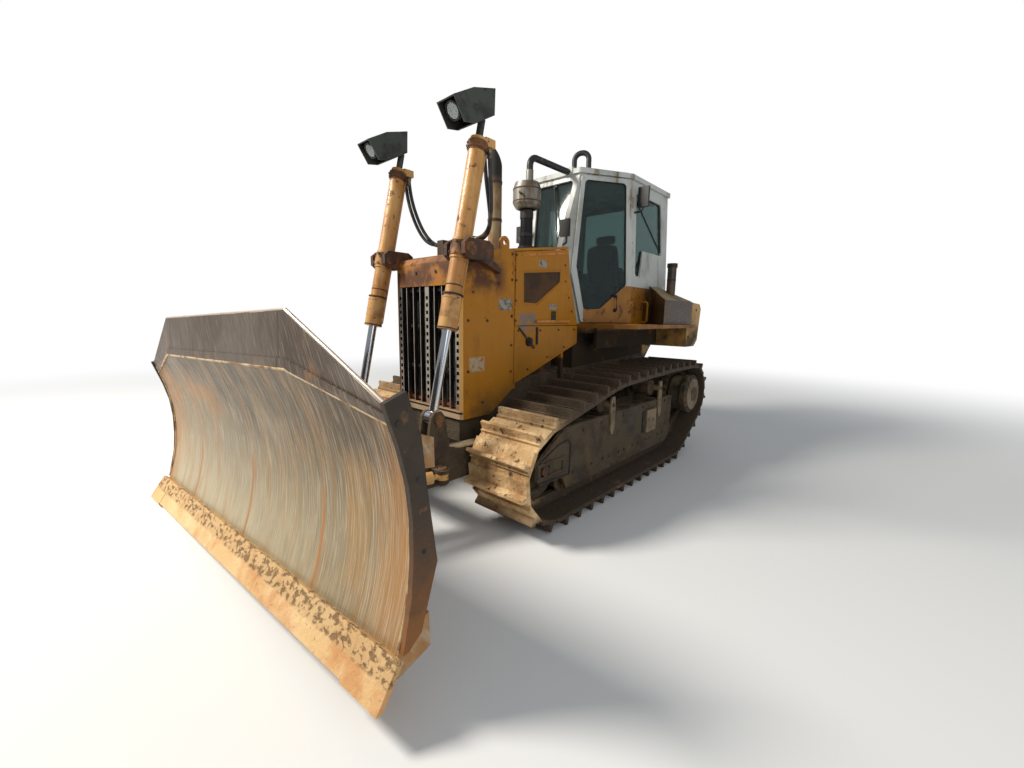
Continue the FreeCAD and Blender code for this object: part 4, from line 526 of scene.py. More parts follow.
# Cylinders
# Long steel barrels in faded tan enamel over chromed rods.
barrel_paint = Finish("barrel_enamel", (206, 158, 92), 0.38, coat=0.1)
barrel_paint.stain((176, 118, 50), 0.45, 3, 0.42, 0.62, detail=7, stretch=(1, 1, 0.4))
barrel_paint.stain((104, 66, 34), 0.7, 14, 0.58, 0.68, detail=9)
barrel_paint.grain(0.0008, 90, 0.3, 0.8)
coat(barrel_paint, "lift_barrel_left", "lift_barrel_right", "angle_barrel_left", "angle_barrel_right",
     "tilt_barrel")
chrome = Finish("hard_chrome", (200, 202, 206), 0.16, metal=1.0)
chrome.stain((120, 104, 84), 0.5, 8, 0.6, 0.74, detail=7)
coat(chrome, "lift_rod_left", "lift_rod_right", "angle_rod_left", "angle_rod_right", "tilt_rod")
lamp_housing = Finish("lamp_box_enamel", (62, 66, 60), 0.5)
lamp_housing.stain((40, 40, 36), 0.6, 6, 0.45, 0.62, detail=8)
lamp_housing.stain((110, 78, 48), 0.8, 16, 0.62, 0.7, detail=8)
coat(lamp_housing, "lamp_box_left", "lamp_box_right")


# Blade
# A rolled mouldboard of thick plate, scoured bare by earth and flash-rusted in upright streaks.
# Its bolted cutting edges are paler, pitted and packed with clay along the bottom.
blade_steel = Finish("scoured_plate", (134, 120, 92), 0.42, metal=0.3)
blade_steel.layer((184, 170, 138), 0.36, blade_steel.axis("Z", 0.8, 0.22),
                  blade_steel.blotches(1.1, 0.25, 0.6))
# Painted shade: the mouldboard darkens towards its top, under the spill guard.
blade_steel.layer((70, 59, 46), 0.5, blade_steel.axis("Z", 0.66, 1.16),
                  blade_steel.blotches(2.2, 0.2, 0.52), 0.9)
blade_steel.layer((168, 120, 62), 0.55, blade_steel.band("Z", 1.04, 0.05, 0.16),
                  blade_steel.axis("Y", -0.1, -0.7),
                  blade_steel.blotches(3.2, 0.36, 0.6, stretch=(1, 1, 2), detail=8), 0.8)
blade_steel.stain((164, 120, 62), 0.5, 3.0, 0.44, 0.7, 0.52, stretch=(1, 3.2, 0.4), detail=6)
blade_steel.layer((170, 126, 64), 0.5, blade_steel.band("Z", 0.7, 0.22, 0.22),
                  blade_steel.axis("Y", 0.35, 1.0),
                  blade_steel.blotches(2.2, 0.42, 0.64, stretch=(1, 2.4, 0.6), detail=8, shift=(0, 3, 1)),
                  0.6)
blade_steel.layer((182, 128, 70), 0.55,
                  blade_steel.math("MAXIMUM", blade_steel.axis("Y", 1.3, 1.72), blade_steel.axis("Y", -1.15, -1.7)),
                  blade_steel.blotches(2.4, 0.34, 0.62, stretch=(1, 1.6, 0.5), detail=7), 0.75)
blade_steel.stain((206, 194, 170), 0.34, 4, 0.46, 0.66, 0.46, stretch=(1, 42, 1.1), detail=3)
blade_steel.stain((92, 78, 62), 0.5, 4, 0.48, 0.7, 0.36, stretch=(1, 36, 0.9), detail=3, shift=(0, 9, 4))
blade_steel.layer((90, 72, 54), 0.5, blade_steel.axis("Z", 0.7, 1.2),
                  blade_steel.blotches(5, 0.52, 0.68, stretch=(1, 30, 1.4), lean=-0.5), 0.5)
for middle, top in ((-0.95, 0.63), (0.07, 0.76), (0.985, 0.79)):
    seam = blade_steel.both(blade_steel.band("Y", middle, 0.004, 0.02),
                            blade_steel.axis("Z", top + 0.03, top - 0.05))
    blade_steel.layer((176, 116, 60), 0.6, seam, 0.8)
    blade_steel.bump(seam, 0.003)
blade_steel.grain(0.001, 6, 0.3, 0.7, stretch=(1, 30, 0.8), detail=4)
blade_steel.grain(0.006, 1.6, 0.2, 0.8, detail=2)
coat(blade_steel, "moldboard")
guard_steel = Finish("guard_plate", (92, 79, 68), 0.48, metal=0.25)
guard_steel.stain((72, 58, 46), 0.55, 2.2, 0.36, 0.66, 0.8, detail=7)
guard_steel.stain((172, 156, 134), 0.38, 5, 0.5, 0.68, 0.42, stretch=(1, 34, 1.2), detail=3, lean=-0.45)
guard_steel.stain((70, 56, 44), 0.55, 5, 0.5, 0.7, 0.4, stretch=(1, 30, 1.2), detail=3, shift=(0, 3, 7),
                  lean=0.35)
guard_steel.layer((150, 108, 66), 0.65, guard_steel.axis("Z", 1.62, 1.35),
                  guard_steel.blotches(4, 0.54, 0.72), 0.6)
for fold in (-1, 1):
    # A dark line at each fold of the guard is painted shade.
    crease_shade = guard_steel.band("Y", fold * 0.92, 0.003, 0.012)
    guard_steel.layer((54, 42, 34), 0.6, crease_shade, 0.6)
coat(guard_steel, "spill_guard")
edge_steel = Finish("cutting_edge_steel", (216, 176, 120), 0.66)
level = node_of(edge_steel.tree, "ShaderNodeVectorMath", i0=edge_steel.place, i1=(0, -0.0349, 1.0))
level.operation = "DOT_PRODUCT"
upper = edge_steel.ramp(level.outputs["Value"], 0.150, 0.172)
edge_steel.stain((232, 202, 152), 0.6, 2.6, 0.34, 0.66, 0.7, detail=6)
edge_steel.stain((190, 122, 62), 0.7, 3.2, 0.46, 0.66, 0.7, detail=7, shift=(2, 2, 0))
edge_steel.layer((198, 162, 112), 0.85, upper, 0.8)
pits = edge_steel.both(upper, edge_steel.blotches(34, 0.5, 0.62, stretch=(1, 0.7, 1), detail=7))
edge_steel.layer((122, 88, 54), 0.9, pits, 0.85)
edge_steel.stain((92, 66, 44), 0.85, 40, 0.62, 0.7, 0.6, detail=5)
edge_steel.bump(edge_steel.math("SUBTRACT", 1.0, pits), 0.006)
edge_steel.grain(0.003, 45, 0.3, 0.8, detail=8)
coat(edge_steel, "cutting_edges")
plate_brown = Finish("end_plate_steel", (66, 52, 38), 0.62, metal=0.1)
plate_brown.stain((46, 36, 28), 0.65, 2.6, 0.38, 0.64, 0.8, detail=8)
plate_brown.layer((152, 98, 46), 0.7, plate_brown.axis("Z", 0.95, 0.3),
                  plate_brown.blotches(2.6, 0.34, 0.62, detail=8), 0.8)
plate_brown.stain((120, 84, 52), 0.75, 13, 0.58, 0.68, 0.7, detail=8)
plate_brown.grain(0.002, 40, 0.3, 0.8, detail=7)
coat(plate_brown, "end_plates")


# Engine door panels
# Perforated sheet behind each door's vent cut-out, riveted round its edge.
# A pressed fold along the top and a long handle rail stiffen the thin door, and the fold carries a painted
# highlight.
vent_mesh = Finish("perforated_sheet", (104, 68, 28), 0.6)
vent_mesh.stain((72, 50, 28), 0.7, 4, 0.36, 0.62, detail=7)
punched = node_of(vent_mesh.tree, "ShaderNodeTexVoronoi", Vector=vent_mesh.stretched((1, 0.001, 1)), Scale=95,
                  Randomness=0.0)
punched_holes = vent_mesh.ramp(punched.outputs["Distance"], 0.40, 0.30)
vent_mesh.layer((24, 18, 13), 0.9, punched_holes, 0.9)
vent_mesh.bump(vent_mesh.math("SUBTRACT", 1.0, punched_holes), 0.002)
# A lighter orange than the body: on the door's pressed fold it is a painted highlight; the handle rail and the deck
# tread wear the same tone.
worn_and_highlit_paint = Finish("worn_and_highlit_paint", (204, 128, 58), 0.42)
worn_and_highlit_paint.stain(BODY_TONE, 0.45, 7, 0.42, 0.6, stretch=(1, 1, 2), detail=7)
black_rubber = Finish("black_rubber", (22, 21, 20), 0.6)
black_rubber.stain((74, 64, 50), 0.8, 9, 0.5, 0.7, 0.7, detail=7)
blank_plate = Finish("blank_plate", (150, 144, 130), 0.4)
blank_plate.stain((96, 84, 66), 0.6, 22, 0.46, 0.62, detail=7)
blank_plate.stain((58, 48, 36), 0.7, 60, 0.6, 0.66, detail=4)
VENT = ((0.282, 2.064), (-0.282, 2.121), (-0.279, 2.001), (0.087, 1.771), (0.274, 1.777))


def side_sheet(bm, points, near, far):
    """A sheet with its outline in the side view, between two distances from the middle plane."""
    verts = [bm.verts.new((x, near, z)) for x, z in points]
    made = bmesh.ops.extrude_face_region(bm, geom=[bm.faces.new(verts)])
    top = [g for g in made["geom"] if isinstance(g, bmesh.types.BMVert)]
    bmesh.ops.translate(bm, vec=(0, far - near, 0), verts=top)
    bmesh.ops.recalc_face_normals(bm, faces=bm.faces)


def side_rim(bm, points, width, near, far):
    """A flat frame round an outline in the side view."""
    verts = [bm.verts.new((x, far, z)) for x, z in points]
    plate = bm.faces.new(verts)
    plate.normal_update()
    ring = bmesh.ops.inset_region(bm, faces=[plate], thickness=width, use_even_offset=True,
                                  use_boundary=True)["faces"]
    bmesh.ops.delete(bm, geom=[plate], context="FACES_ONLY")
    made = bmesh.ops.extrude_face_region(bm, geom=ring)
    back = [g for g in made["geom"] if isinstance(g, bmesh.types.BMVert)]
    bmesh.ops.translate(bm, vec=(0, near - far, 0), verts=back)
    bmesh.ops.recalc_face_normals(bm, faces=bm.faces)


for side, sign in (("left", 1), ("right", -1)):
    body = "engine_door_" + side
    bm = bmesh.new()
    side_sheet(bm, VENT, sign * 0.4543, sign * 0.4562)
    piece("vent_sheet_" + side, bm, vent_mesh, body)
    bm = bmesh.new()
    side_rim(bm, [(x * 1.03, z) for x, z in VENT], 0.012, sign * 0.4545, sign * 0.4625)
    piece("vent_rim_" + side, bm, body_paint, body)
    bm = bmesh.new()
    side_sheet(bm, ((0.300, 2.215), (-0.405, 2.312), (-0.405, 2.296), (0.300, 2.199)), sign * 0.4595, sign * 0.4660)
    piece("door_fold_" + side, bm, worn_and_highlit_paint, body)
    bm = bmesh.new()
    add_block(bm, (-0.440, sign * 0.459, 1.600), (0.100, sign * 0.484, 1.628),
              0.006)
    piece("door_rail_" + side, bm, worn_and_highlit_paint, body)
    bm = bmesh.new()
    for x, z in ((0.378, 2.20), (0.378, 1.98), (0.378, 1.80), (0.378, 1.62), (0.10, 2.235), (-0.20, 2.275),
                 (-0.36, 2.18), (-0.375, 2.02), (-0.44, 1.86), (-0.50, 1.72)):
        add_prism(bm, (x, sign * 0.4595, z), (0, sign, 0), 0.011, 0.007, tip=0.009)
    piece("door_bolts_" + side, bm, dark_steel, body)
    bm = bmesh.new()
    add_block(bm, (-0.215, sign * 0.459, 1.628), (-0.150, sign * 0.474, 1.716),
              0.006)
    add_prism(bm, (-0.183, sign * 0.472, 1.668), (0, sign, 0), 0.017, 0.012, sides=16)
    piece("door_latch_" + side, bm, black_rubber, body)
bm = bmesh.new()
add_block(bm, (-0.240, 0.459, 1.735), (-0.110, 0.4625, 1.782), 0.001)
add_block(bm, (-0.062, 0.459, 2.128), (0.068, 0.4625, 2.192), 0.001)
piece("door_plates", bm, blank_plate, "engine_door_left")


# Guard and skirt fittings
# Bolts along the guard's seams, a rubber plug in the skirt, and the firewall behind the engine, black as painted
# shade in the hood's rear opening.
# Blank plates stand where the photograph shows stickers.
bm = bmesh.new()
add_block(bm, (0.440, 0.459, 1.712), (0.600, 0.4625, 1.812), 0.001)
piece("guard_plate", bm, blank_plate, "root")
bm = bmesh.new()
for sign in (1, -1):
    for x, z in ((0.435, 2.20), (0.435, 1.98), (0.435, 1.66), (0.435, 1.40), (0.435, 1.16), (0.60, 1.935),
                 (0.74, 1.62), (0.955, 2.06), (0.955, 1.62), (0.955, 1.20), (0.79, 0.92), (0.90, 1.85)):
        add_prism(bm, (x, sign * 0.4595, z), (0, sign, 0), 0.013, 0.009, tip=0.011)
    for x, z in ((0.34, 1.53), (0.02, 1.53), (-0.28, 1.53), (-0.56, 1.53), (0.20, 1.16), (-0.10, 1.26),
                 (-0.38, 1.35)):
        add_prism(bm, (x, sign * 0.4595, z), (0, sign, 0), 0.012, 0.008, tip=0.010)
for y in (-0.40, -0.14, 0.14, 0.40):
    add_prism(bm, (1.0295, y, 2.02), (1, 0, 0), 0.014, 0.010, tip=0.012)
piece("guard_bolts", bm, dark_steel, "root")
bm = bmesh.new()
add_prism(bm, (0.190, 0.4595, 1.424), (0, 1, 0), 0.046, 0.022, sides=24, tip=0.040)
add_prism(bm, (0.190, 0.4805, 1.424), (0, 1, 0), 0.020, 0.012, sides=16)
add_block(bm, (0.060, 0.459, 1.392), (0.085, 0.474, 1.560), 0.005)
piece("skirt_plug", bm, black_rubber, "root")
bm = bmesh.new()
side_sheet(bm, ((0.330, 1.560), (0.345, 1.556), (0.120, 1.352), (0.100, 1.368)), 0.4595, 0.4720)
piece("skirt_strap", bm, dark_steel, "root")
bm = bmesh.new()
# The firewall is a real bulkhead, but its black is painted shade for the hood's rear opening.
add_block(bm, (-0.400, -0.444, 1.90), (-0.392, 0.444, 2.335))
piece("firewall", bm, black_rubber, "root")
bm = bmesh.new()
for sign in (1, -1):
    side_sheet(bm, ((0.150, 1.128), (0.150, 1.146), (-0.600, 1.394), (-0.600, 1.376)), sign * 0.4595, sign * 0.4655)
piece("skirt_beads", bm, body_paint, "root")


# Stacks
# The exhaust has a clamp and a rain-stained slash-cut mouth with a soot-black bore.
# The cleaner's bowl is spun steel with a wing-nut on its band, above a black rubber stem.
bm = bmesh.new()
add_prism(bm, (-0.05, -0.25, 2.335), (0, 0, 1), 0.100, 0.020, sides=32, tip=0.096)
add_prism(bm, (-0.05, -0.25, 2.640), (0, 0, 1), 0.0765, 0.030, sides=32)
add_prism(bm, (-0.05, -0.25, 3.020), (0, 0, 1), 0.0765, 0.025, sides=32)
piece("stack_clamps", bm, dark_steel, "root")
bm = bmesh.new()
add_prism(bm, (-0.08, 0.17, 2.330), (0, 0, 1), 0.088, 0.024, sides=32, tip=0.082)
add_prism(bm, (-0.08, 0.17, 2.450), (0, 0, 1), 0.0665, 0.030, sides=32)
add_prism(bm, (-0.08, 0.17, 2.620), (0, 0, 1), 0.0665, 0.075, sides=32)
piece("cleaner_stem_bands", bm, black_rubber, "root")
bm = bmesh.new()
add_prism(bm, (-0.08, 0.17, 2.770), (0, 0, 1), 0.1415, 0.012, sides=40)
add_prism(bm, (-0.08, 0.17, 2.885), (0, 0, 1), 0.1415, 0.012, sides=40)
add_prism(bm, (0.056, 0.21, 2.830), (1, 0.3, 0), 0.012, 0.030)
piece("cleaner_bands", bm, dark_steel, "root")


# Window rubbers and wipers
# A black rubber bead holds each pane, and a wiper hangs from the top of the front window.
# The beads are swept round the panes' own outlines.
def flat_outlines(node, smallest=0.03):
    """Outer loops of a node's large flat faces, with their normals."""
    mesh = nodes[node].data
    planes = []
    for triangle in mesh.polygons:
        corners = [mesh.vertices[v].co for v in triangle.vertices]
        normal = triangle.normal
        depth = corners[0].dot(normal)
        for level, group in planes:
            if normal.dot(group[0][2]) > 0.999 and abs(depth - level) < 0.002:
                group.append((corners, triangle.area, normal))
                break
        else:
            planes.append((depth, [(corners, triangle.area, normal)]))
    for _, group in planes:
        if sum(area for _, area, _ in group) < smallest:
            continue
        edges = {}
        for corners, _, _ in group:
            keys = [tuple(round(v, 4) for v in c) for c in corners]
            for a, b in zip(keys, keys[1:] + keys[:1]):
                if (b, a) in edges:
                    del edges[(b, a)]
                else:
                    edges[(a, b)] = True
        follow = dict(edges.keys())
        while follow:
            start, point = follow.popitem()
            loop = [start]
            while point in follow:
                loop.append(point)
                point = follow.pop(point)
            if len(loop) > 3:
                yield [Vector(p) for p in loop], group[0][2].copy()


def add_bead(bm, loop, radius):
    """A round rubber bead that runs once round a loop: a closed bevelled curve, made a mesh."""
    curve = bpy.data.curves.new("bead", "CURVE")
    curve.dimensions = "3D"
    curve.bevel_depth = radius
    curve.bevel_resolution = 1
    path = curve.splines.new("POLY")
    path.points.add(len(loop) - 1)
    for spot, place in zip(path.points, loop):
        spot.co = (*place, 1)
    path.use_cyclic_u = True
    holder = bpy.data.objects.new("bead", curve)
    mesh = bpy.data.meshes.new_from_object(holder)
    bm.from_mesh(mesh)
    bpy.data.objects.remove(holder)
    bpy.data.curves.remove(curve)
    bpy.data.meshes.remove(mesh)


def tube_along(bm, points, radius, sides=10):
    """A round bar through points, closed at both ends."""
    rings = []
    for k, point in enumerate(points):
        before = points[max(k - 1, 0)]
        after = points[min(k + 1, len(points) - 1)]
        turn = (after - before).normalized().to_track_quat("Z", "Y")
        rings.append([bm.verts.new(point + turn @ Vector((radius * math.cos(2 * math.pi * n / sides),
                                                          radius * math.sin(2 * math.pi * n / sides), 0)))
                      for n in range(sides)])
    for low, high in zip(rings, rings[1:]):
        for n in range(sides):
            bm.faces.new((low[n], low[(n + 1) % sides], high[(n + 1) % sides], high[n]))
    bm.faces.new(list(reversed(rings[0])))
    bm.faces.new(rings[-1])


cab_middle = Vector((-1.5, 0, 2.4))
for node, body in (("cab_glass", "root"), ("door_glass_left", "cab_door_left"),
                   ("door_glass_right", "cab_door_right")):
    bm = bmesh.new()
    for loop, normal in flat_outlines(node, 0.10):
        centre = sum(loop, Vector()) / len(loop)
        if normal.dot(centre - cab_middle) > 0:
            add_bead(bm, [point + normal * 0.003 for point in loop], 0.009)
    piece(node + "_rubber", bm, black_rubber, body)

wiper_bm = bmesh.new()
for loop, normal in flat_outlines("cab_glass", 0.10):
    centre = sum(loop, Vector()) / len(loop)
    if normal.x > 0.8 and normal.dot(centre - cab_middle) > 0:
        top = max(loop, key=lambda p: p.z).z
        low = min(loop, key=lambda p: p.z).z
        slope = Vector((-normal.z, 0, normal.x)).normalized()
        pivot = centre + slope * (top - centre.z - 0.02) + normal * 0.030
        tip = pivot - slope * 0.62 + Vector((0, 0.16, 0))
        tube_along(wiper_bm, [pivot - normal * 0.026, pivot, tip], 0.008, 8)
        tube_along(wiper_bm, [tip + slope * 0.22 - normal * 0.012, tip - slope * 0.20 - normal * 0.012], 0.007, 6)
        add_prism(wiper_bm, pivot - normal * 0.030, normal, 0.022, 0.022, sides=12)
piece("front_wiper", wiper_bm, black_rubber, "root")


# Cab door furniture, mirrors and roof
# A black pull handle stands on the door below its window.
# The mirror heads carry silvered glass on their rear faces.
for sign, side in ((1, "left"), (-1, "right")):
    bm = bmesh.new()
    out = Vector((0.51, sign * 0.86, 0.01)).normalized()
    top = Vector((-1.140, sign * 0.6035, 1.905))
    low = Vector((-1.146, sign * 0.6085, 1.745))
    tube_along(bm, [top - out * 0.003, top + out * 0.040, low + out * 0.040, low - out * 0.003], 0.011, 10)
    for end in (top, low):
        add_prism(bm, end - out * 0.003, out, 0.022, 0.012, sides=12)
    piece("door_handle_" + side, bm, black_rubber, "cab_door_" + side)
mirror_glass = Finish("mirror_glass", (214, 220, 224), 0.05, metal=1.0)
bm = bmesh.new()
for sign in (1, -1):
    add_block(bm, (-0.5575, sign * 0.256, 2.510), (-0.5555, sign * 0.360, 2.672))
    add_block(bm, (-1.4195, sign * 0.699, 2.906), (-1.4175, sign * 0.807, 3.102))
piece("mirror_faces", bm, mirror_glass, "root")


# Seat
# A suspension seat with crowned foam cushions in dark woven cloth, piped at the seams.
# It stands on a ribbed rubber bellows, and its armrests carry the two control levers.
seat_cloth = Finish("seat_cloth", (44, 45, 50), 0.85)
seat_cloth.stain((72, 68, 62), 0.9, 7, 0.46, 0.66, 0.6, detail=7)
seat_cloth.bump(seat_cloth.cells(420, 0.0, 0.6), 0.0006)
seat_cloth.socket["Sheen Weight"].default_value = 0.3


def add_cushion(name, middle, size, lean=0.0, channels=(), piping=True):
    """A closed cushion: faces crowned, sides pulled in between the corners, with sewn channels."""
    bm = bmesh.new()
    bmesh.ops.create_cube(bm, size=2.0)
    bmesh.ops.subdivide_edges(bm, edges=bm.edges, cuts=13, use_grid_fill=True)
    half = Vector(size) / 2
    place = Matrix.Translation(middle) @ Matrix.Rotation(lean, 4, "Y")
    for vert in bm.verts:
        u, v, w = vert.co
        x = u * math.sqrt(1 - 0.26 * (v * v + w * w) + 0.20 * v * v * w * w)
        y = v * math.sqrt(1 - 0.26 * (u * u + w * w) + 0.20 * u * u * w * w)
        z = w * math.sqrt(1 - 0.55 * (u * u + v * v) / 2 - 0.20 * u * u * v * v)
        waist = 1 - 0.035 * (1 - w * w) * max(abs(u), abs(v)) ** 6
        local = Vector((x * half.x * waist, y * half.y * waist, z * half.z))
        for at in channels:
            local.z -= 0.007 * math.copysign(math.exp(-((y * half.y - at) / 0.010) ** 2), w) * (abs(w) > 0.6)
        vert.co = place @ local
    mesh = bpy.data.meshes.new(name)
    bm.to_mesh(mesh)
    bm.free()
    mesh.materials.append(seat_cloth.material)
    mesh.shade_smooth()
    made = bpy.data.objects.new(name, mesh)
    scene.collection.objects.link(made)
    smooth = made.modifiers.new("soften", "SUBSURF")
    smooth.levels = smooth.render_levels = 1
    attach(made, "root")
    if piping:
        seam = bmesh.new()
        ring = []
        for n in range(49):
            angle = 2 * math.pi * n / 48
            c, s = math.cos(angle), math.sin(angle)
            wide = (abs(c) ** 6 + abs(s) ** 6) ** (-1 / 6)
            ring.append(place @ Vector((c * wide * half.x * 0.90, s * wide * half.y * 0.90, half.z * 0.42)))
        tube_along(seam, ring, 0.0045, 6)
        piece(name + "_piping", seam, black_rubber, "root")
    return made


seat_pad = add_cushion("seat_cushion", (-1.585, 0, 2.020), (0.52, 0.50, 0.135), 0.05, (-0.12, 0.12))
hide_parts("seat")
add_cushion("seat_back_cushion", (-1.845, 0, 2.345), (0.56, 0.48, 0.125), math.radians(-81.5), (-0.12, 0.12))
add_cushion("seat_headrest", (-1.895, 0, 2.675), (0.12, 0.28, 0.095), math.radians(-81.5), (), False)
for sign, side in ((1, "left"), (-1, "right")):
    add_cushion("armrest_" + side, (-1.59, sign * 0.31, 2.262), (0.42, 0.095, 0.056), 0.0, (), False)
bm = bmesh.new()
for k in range(7):
    low = 1.640 + k * 0.042
    inset = 0.012 * (k % 2)
    add_block(bm, (-1.775 + inset, -0.195 + inset, low), (-1.425 - inset, 0.195 - inset, low + 0.0422), 0.008)
add_block(bm, (-1.80, -0.21, 1.5925), (-1.40, 0.21, 1.642), 0.006)
piece("seat_bellows", bm, black_rubber, "root")
bm = bmesh.new()
add_block(bm, (-1.80, -0.225, 1.928), (-1.40, 0.225, 1.958), 0.006)
for sign in (1, -1):
    add_block(bm, (-1.775, sign * 0.255, 1.935), (-1.715, sign * 0.285, 2.050), 0.006)
    add_block(bm, (-1.765, sign * 0.262, 2.040), (-1.725, sign * 0.318, 2.238), 0.008)
    tube_along(bm, [Vector((-1.868, sign * 0.06, 2.56)), Vector((-1.882, sign * 0.06, 2.66))], 0.007, 8)
    add_block(bm, (-1.775, sign * 0.19, 1.936), (-1.715, sign * 0.262, 1.956), 0.004)
piece("seat_frame", bm, black_metal, "root")
bm = bmesh.new()
for sign in (1, -1):
    add_prism(bm, (-1.43, sign * 0.31, 2.2885), (0, 0, 1), 0.034, 0.055, sides=20, tip=0.017)
    add_prism(bm, (-0.83, sign * 0.12, 2.2385), (0, 0, 1), 0.030, 0.050, sides=20, tip=0.015)
    tube_along(bm, [Vector((-0.83, sign * 0.12, 2.28)), Vector((-0.90, sign * 0.13, 2.47))], 0.009, 8)
    made = bmesh.ops.create_uvsphere(bm, u_segments=16, v_segments=10, radius=0.026)["verts"]
    bmesh.ops.translate(bm, vec=(-0.902, sign * 0.13, 2.485), verts=made)
piece("control_levers", bm, black_rubber, "root")


# Lift cylinder fittings
# Each barrel has a long gland sleeve with a groove ring, band clamps and weld beads.
# Hex couplings screw into the port block and the hose block, and a braided collar grips each hose.
BARREL_END = Vector((1.236, 0.54, 1.5526))
BARREL_TOP = Vector((0.9194, 0.54, 2.9748))
BARREL_WAY = (BARREL_TOP - BARREL_END).normalized()
BARREL_WALL = 0.060
PIVOT = Vector((1.103, 0.54, 2.150))


def mirror_y(point, sign):
    return Vector((point.x, sign * point.y, point.z))


def add_ring(bm, place, way, inner, outer, depth, sides=36):
    """A ring round an axis with eased outer edges: its section, spun through a full circle."""
    turn = Vector(way).to_track_quat("Z", "Y").to_matrix().to_4x4()
    ease = 0.0015
    corners = ((inner, 0, 0), (outer - ease, 0, 0), (outer, 0, ease), (outer, 0, depth - ease),
               (outer - ease, 0, depth), (inner, 0, depth))
    section = [bm.verts.new(Matrix.Translation(place) @ turn @ Vector(p)) for p in corners]
    edges = [bm.edges.new(pair) for pair in zip(section, section[1:] + section[:1])]
    bmesh.ops.spin(bm, geom=section + edges, cent=place, axis=way, angle=2 * math.pi, steps=sides,
                   use_merge=True)
    bmesh.ops.recalc_face_normals(bm, faces=bm.faces)


gland_paint = Finish("gland_enamel", (196, 146, 84), 0.4)
gland_paint.stain((150, 104, 56), 0.55, 6, 0.42, 0.62, detail=8)
gland_paint.stain((84, 58, 36), 0.75, 22, 0.6, 0.7, detail=7)
rust_clamp = Finish("rusted_clamp", (118, 78, 44), 0.7)
rust_clamp.stain((72, 46, 30), 0.8, 9, 0.42, 0.6, detail=8)
rust_clamp.stain((172, 124, 68), 0.6, 5, 0.54, 0.68, detail=7, shift=(1, 4, 0))
rust_clamp.grain(0.0015, 60, 0.3, 0.8, detail=7)
fitting_steel = Finish("plated_fitting", (116, 108, 94), 0.4, metal=0.7)
fitting_steel.stain((70, 58, 44), 0.6, 24, 0.46, 0.62, detail=7)
for sign, side in ((1, "left"), (-1, "right")):
    body = "lift_barrel_" + side
    end = mirror_y(BARREL_END, sign)
    way = Vector((BARREL_WAY.x, 0, BARREL_WAY.z))
    bm = bmesh.new()
    add_ring(bm, end + way * 0.086, way, BARREL_WALL, 0.0762, 0.150, 40)
    for at, radius in ((0.232, 0.0790), (0.246, 0.0700)):
        add_ring(bm, end + way * at, way, BARREL_WALL, radius, 0.014, 40)
    piece("gland_sleeve_" + side, bm, gland_paint, body)
    bm = bmesh.new()
    for at, radius in ((0.262, 0.0805), (0.004, 0.0785), (0.330, 0.0662)):
        add_ring(bm, end + way * at, way, BARREL_WALL, radius, 0.011, 40)
    piece("barrel_rings_" + side, bm, dark_steel, body)
    bm = bmesh.new()
    pivot = mirror_y(PIVOT, sign)
    add_ring(bm, pivot - way * 0.056, way, BARREL_WALL, 0.0780, 0.112, 40)
    for at in (-0.040, 0.040):
        for turn in (0.35, -0.35, math.pi - 0.35, math.pi + 0.35):
            out = Vector((math.cos(turn) * way.z, math.sin(turn), -math.cos(turn) * way.x))
            add_prism(bm, pivot + way * at + out * 0.076, out, 0.011, 0.012, tip=0.009)
    piece("trunnion_band_" + side, bm, rust_clamp, body)
    bm = bmesh.new()
    clamp = mirror_y(BARREL_TOP, sign) - way * 0.0850
    add_ring(bm, clamp, way, BARREL_WALL, 0.0785, 0.056, 40)
    add_ring(bm, clamp - way * 0.014, way, BARREL_WALL, 0.0700, 0.015, 40)
    for k in range(10):
        turn = 2 * math.pi * (k + 0.5) / 10
        out = Vector((math.cos(turn) * way.z, math.sin(turn), -math.cos(turn) * way.x))
        add_prism(bm, clamp + way * 0.028 + out * 0.077, out, 0.010, 0.010, tip=0.008)
    piece("lamp_clamp_" + side, bm, rust_clamp, body)
    bm = bmesh.new()
    for y in (0.568, 0.512):
        port = Vector((0.832, sign * y, 2.925))
        add_prism(bm, port - Vector((0, 0, 0.026)), (0, 0, 1), 0.0225, 0.027)
        add_prism(bm, port - Vector((0, 0, 0.070)), (0, 0, 1), 0.0192, 0.045, sides=20)
        add_prism(bm, Vector((0.832, sign * y, 2.985)), (0, 0, 1), 0.014, 0.010)
    piece("port_fittings_" + side, bm, fitting_steel, body)
bm = bmesh.new()
for sign in (1, -1):
    for x in (0.650, 0.694):
        add_prism(bm, (x, sign * 0.228, 2.314), (0, sign, 0), 0.0215, 0.024)
        add_prism(bm, (x, sign * 0.250, 2.314), (0, sign, 0), 0.0190, 0.040, sides=20)
piece("block_fittings", bm, fitting_steel, "root")
bm = bmesh.new()
for sign in (1, -1):
    for face_y in (0.6632, 0.4168):
        out = 1 if face_y > 0.54 else -1
        at = Vector((PIVOT.x, sign * face_y, PIVOT.z))
        add_prism(bm, at, (0, sign * out, 0), 0.052, 0.010, sides=32, tip=0.049)
        for k in range(4):
            angle = math.radians(45 + 90 * k)
            bolt = at + Vector((0.036 * math.cos(angle), sign * out * 0.009, 0.036 * math.sin(angle)))
            add_prism(bm, bolt, (0, sign * out, 0), 0.007, 0.006, tip=0.006)
piece("trunnion_caps", bm, rust_clamp, "root")


